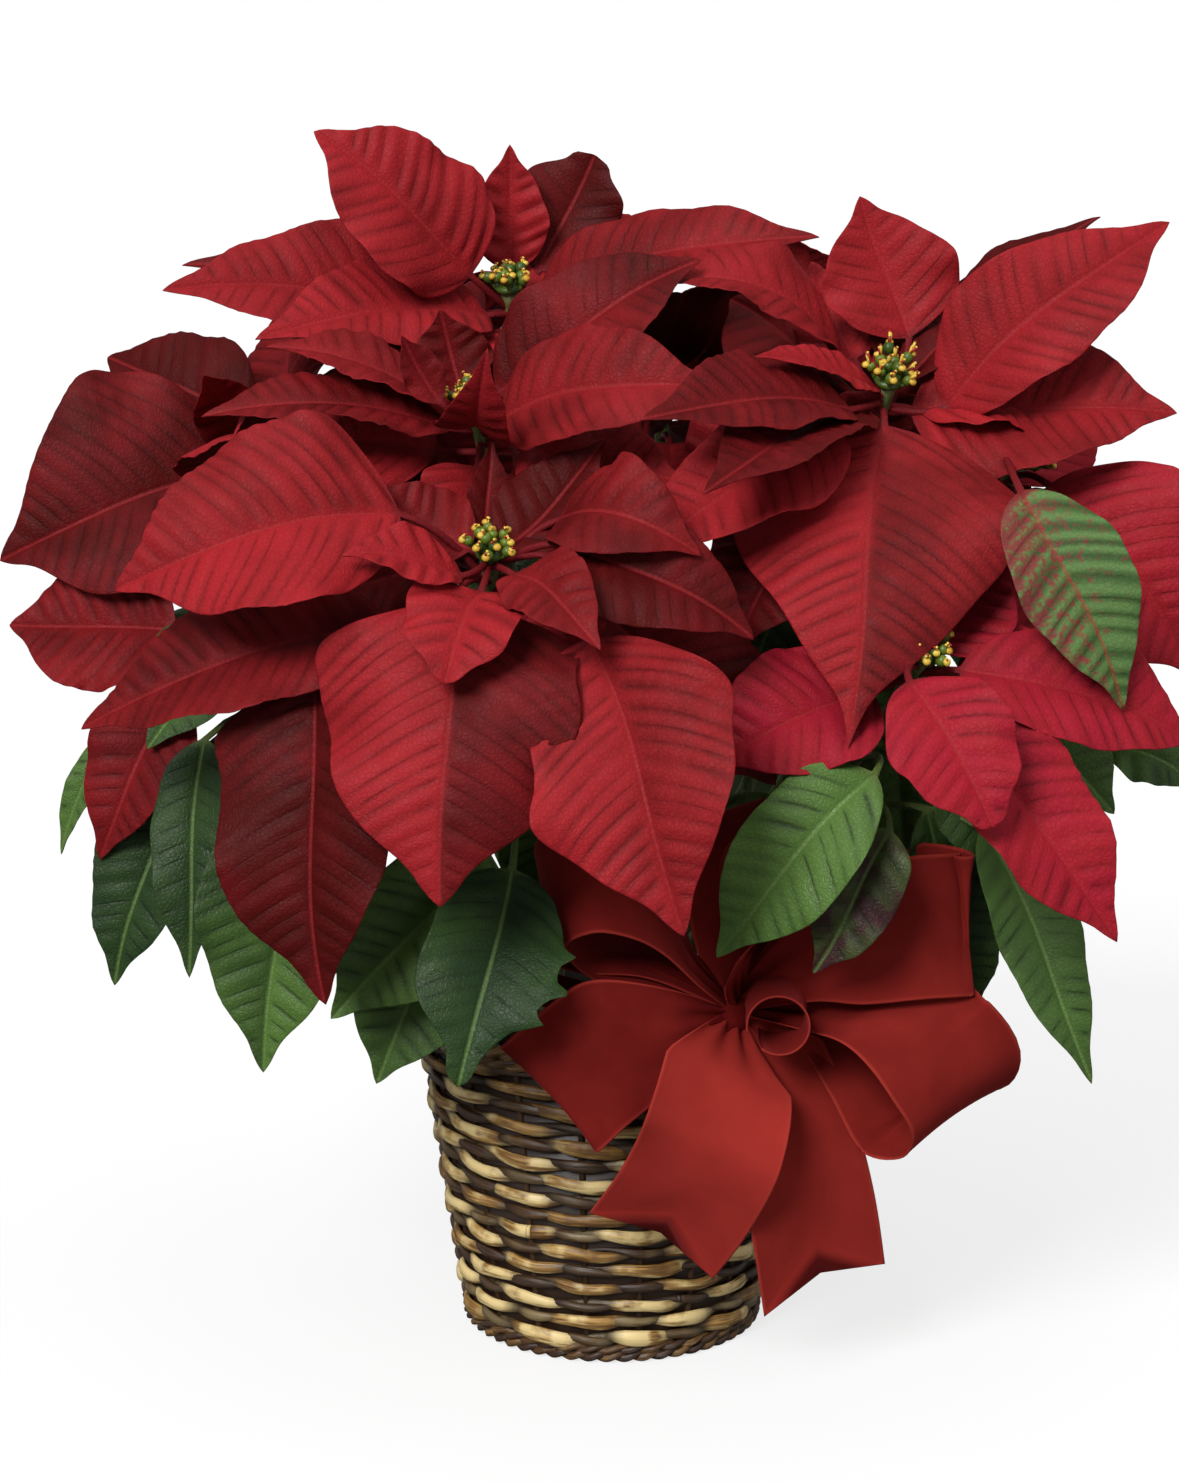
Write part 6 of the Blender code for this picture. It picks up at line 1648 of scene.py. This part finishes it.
def buildBow():
    centre = np.array(knotPlace)
    # the knot: the band that gathers the loops, pleated round its middle
    s = np.linspace(0.0, 1.0, 15)
    a = np.linspace(0.0, 2 * math.pi, 40, endpoint=False)
    swell = bowLook["knotRadius"] * np.sqrt(np.maximum(0.0, 1 - (2 * s - 1) ** 2) * 0.92 + 0.04)
    pleats = np.cos(bowLook["knotPleats"] * a)[None, :] * np.sin(math.pi * s)[:, None]
    radius = swell[:, None] * (1.0 + bowLook["knotPleatDepth"] * pleats)
    depth = np.broadcast_to((2 * s - 1)[:, None] * bowLook["knotDepth"], (15, 40))
    rings = np.stack((centre[0] + radius * np.cos(a)[None], centre[1] + depth,
                      centre[2] + radius * np.sin(a)[None]), axis=-1)
    # the knot's marks carry its painted shade
    marks = {"ribbonPlace": np.stack((np.broadcast_to(a[None] * 8, (15, 40)),
                                      np.broadcast_to(s[:, None] * 20, (15, 40)),
                                      np.zeros((15, 40))), axis=-1),
             "ribbonPaintedLight": np.array((bowLook["knotPaintedLight"], 0.0, 0.0))}
    knotPiece = joinedObject("bow_knot", [loftedSkin(rings, marks)], [ribbonVelvet])
    attach(knotPiece, "ribbon", "ribbon_bow")
    for k, (points, way, width) in enumerate(loopTable):
        count = ribbonMake["stations"]
        if k == 0:
            band = panelLoop(bowLook["panelTop"], bowLook["panelFoot"], width, count)
        else:
            band = loopBand(points, way, width, count)
        path, across, half, gathered = band
        skin, length = ribbonSkin(path, across, half, gathered ** 1.5, 0.05, bowLook["paintedLightAndShade"][k], 10 + k)
        obj = joinedObject(ribbonNames[k], [skin], [ribbonVelvet])
        declareRibbon(obj)
    skin, length = ribbonSkin(*centreBand(48), np.zeros(48), 0.0, bowLook["ringPaintedLight"], 30)
    obj = joinedObject("centre_loop", [skin], [ribbonVelvet])
    declareRibbon(obj)
    for k, row in enumerate(tailTable):
        points, way = row[:2]
        points = [np.array(p) - (0.0, y, 0.0) for p, y in zip(points, bowLook["tailForward"][k])]
        path = smoothPath([centre] + points, 44)
        share = np.linspace(0.0, 1.0, len(path))
        openPart = np.minimum(1.0, gatherShare + bowLook["tailOpening"][k] * share)
        half = 0.5 * ribbonWidth * openPart
        end = unit(path[-1] - path[-2])

        def forked(s, u, end=end):
            reach = tailNotch * np.abs(u) * smoothStep(0.55, 1.0, s)
            return reach[..., None] * end

        skin, length = ribbonSkin(path, acrossPath(path, way), half, (1.0 - openPart) ** 1.2, 0.10,
                                  bowLook["tailPaintedLight"][k], 40 + k, forked)
        obj = joinedObject(("tail_left", "tail_right")[k], [skin], [ribbonVelvet])
        declareRibbon(obj)


buildBow()
stage("bow made")

# CAD pieces that stay: soil, pot and wire, each with its own finish


def dress(name, material):
    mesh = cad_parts[name].data
    mesh.materials.clear()
    mesh.materials.append(material)


peatMix = peatMaterial()
dress("soil", peatMix)
dress("grow_pot", potMaterial())
dress("bow_wire", wireMaterial())


# Crumbs of the mix: small uneven lumps half sunk in the top of the soil, which is a little higher
# in the middle, and clear of the trunks
crumbMake = {"count": 520, "seed": 3, "spread": 71.0, "level": 121.6, "rise": 0.6, "clear": 9,
             "sizes": (1.0, 2.6)}


def buildCrumbs():
    c = crumbMake
    draw = random.Random(c["seed"])
    skins = []
    for k in range(c["count"]):
        angle = k * goldenAngle
        reach = c["spread"] * math.sqrt((k + 0.5) / c["count"])
        level = c["level"] + c["rise"] * (1 - reach / c["spread"])
        place = np.array((reach * math.cos(angle), reach * math.sin(angle), level))
        if any(math.hypot(place[0] - x, place[1] - y) < c["clear"] for x, y in plantPlaces.values()):
            continue
        size = draw.uniform(*c["sizes"])
        lean = unit((draw.uniform(-0.6, 0.6), draw.uniform(-0.6, 0.6), 1.0))
        one = unit(np.cross(lean, (0.3, 1.0, 0.2)))
        two = np.cross(lean, one) * draw.uniform(0.5, 1.0)
        radii = np.array([0.3, 0.9, 1.0, 0.6]) * size
        heights = np.array([-0.9, -0.4, 0.3, 0.8]) * size
        skins.append(turnedSkin(place, lean, one, two, radii, heights, 6, {}))
    obj = joinedObject("soil_crumbs", skins, [peatMix])
    attach(obj, "soil")


buildCrumbs()
stage("soil made")

# Studio: a pale floor that glows as an opal light table does, so that shadows on it stay faint and
# it throws no light up at the plant; a broad lamp from the upper left in front, a softer one from
# overhead, a weak one from the right; and a dim room that is white only near the horizon
studioLook = {
    "floor": "#8C8C8C", "floorGlow": 0.75, "floorReach": 60.0,
    "horizon": 1.0, "overhead": 0.16, "below": 0.10,
    "upwardFade": (0.02, 0.12), "downwardFade": (-0.12, -0.03),     # heights on a globe of radius 1
    "keyStrength": 2.8, "keyAngleDegrees": 22.0, "keyFrom": (-0.42, -0.85, 0.66),
    "topStrength": 1.2, "topAngleDegrees": 75.0, "topFrom": (0.05, -0.25, 1.0),
    "fillStrength": 0.30, "fillAngleDegrees": 60.0, "fillFrom": (0.9, -0.7, 0.3),
}


def addSun(name, strength, spreadDegrees, comesFrom):
    data = bpy.data.lights.new(name, 'SUN')
    data.energy = strength
    data.angle = math.radians(spreadDegrees)
    lamp = bpy.data.objects.new(name, data)
    x, y, z = unit(comesFrom)
    lamp.rotation_euler = (math.acos(z), 0.0, math.atan2(y, x) + math.pi / 2)
    bpy.context.scene.collection.objects.link(lamp)


def buildStudio(look):
    mesh = bpy.data.meshes.new("studio_floor")
    reach = look["floorReach"]
    mesh.from_pydata([(-reach, -reach, 0), (reach, -reach, 0), (reach, reach, 0), (-reach, reach, 0)], [],
                     [(0, 1, 2, 3)])
    floor = bpy.data.objects.new("studio_floor", mesh)
    bpy.context.scene.collection.objects.link(floor)
    glow = newMaterial("opalLightTable", {
        "Roughness": 0.8, "Specular IOR Level": 0.1, "Base Color": hexColour(look["floor"]),
        "Emission Color": (1.0, 1.0, 1.0, 1.0), "Emission Strength": look["floorGlow"]})[0]
    mesh.materials.append(glow)
    floor.visible_diffuse = False
    floor.visible_glossy = False
    world = bpy.data.worlds.new("paleRoom")
    bpy.context.scene.world = world
    world.use_nodes = True
    tree = world.node_tree
    way = addNode(tree, "TexCoord", output="Generated")
    height = addNode(tree, "SeparateXYZ", [way], 2)
    above = addNode(tree, "MapRange", [height, *look["upwardFade"], look["horizon"], look["overhead"]],
                    **softStep)
    below = addNode(tree, "MapRange", [height, *look["downwardFade"], look["below"], 1.0], **softStep)
    strength = addNode(tree, "Math", [above, below], **times)
    background = tree.nodes["Background"]
    background.inputs["Color"].default_value = (1.0, 1.0, 1.0, 1.0)
    tree.links.new(strength, background.inputs["Strength"])
    addSun("softKey", look["keyStrength"], look["keyAngleDegrees"], look["keyFrom"])
    addSun("softTop", look["topStrength"], look["topAngleDegrees"], look["topFrom"])
    addSun("softFill", look["fillStrength"], look["fillAngleDegrees"], look["fillFrom"])
    bpy.context.scene.view_settings.view_transform = 'Standard'


buildStudio(studioLook)
stage("studio made")

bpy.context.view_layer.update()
stage("sizes written")
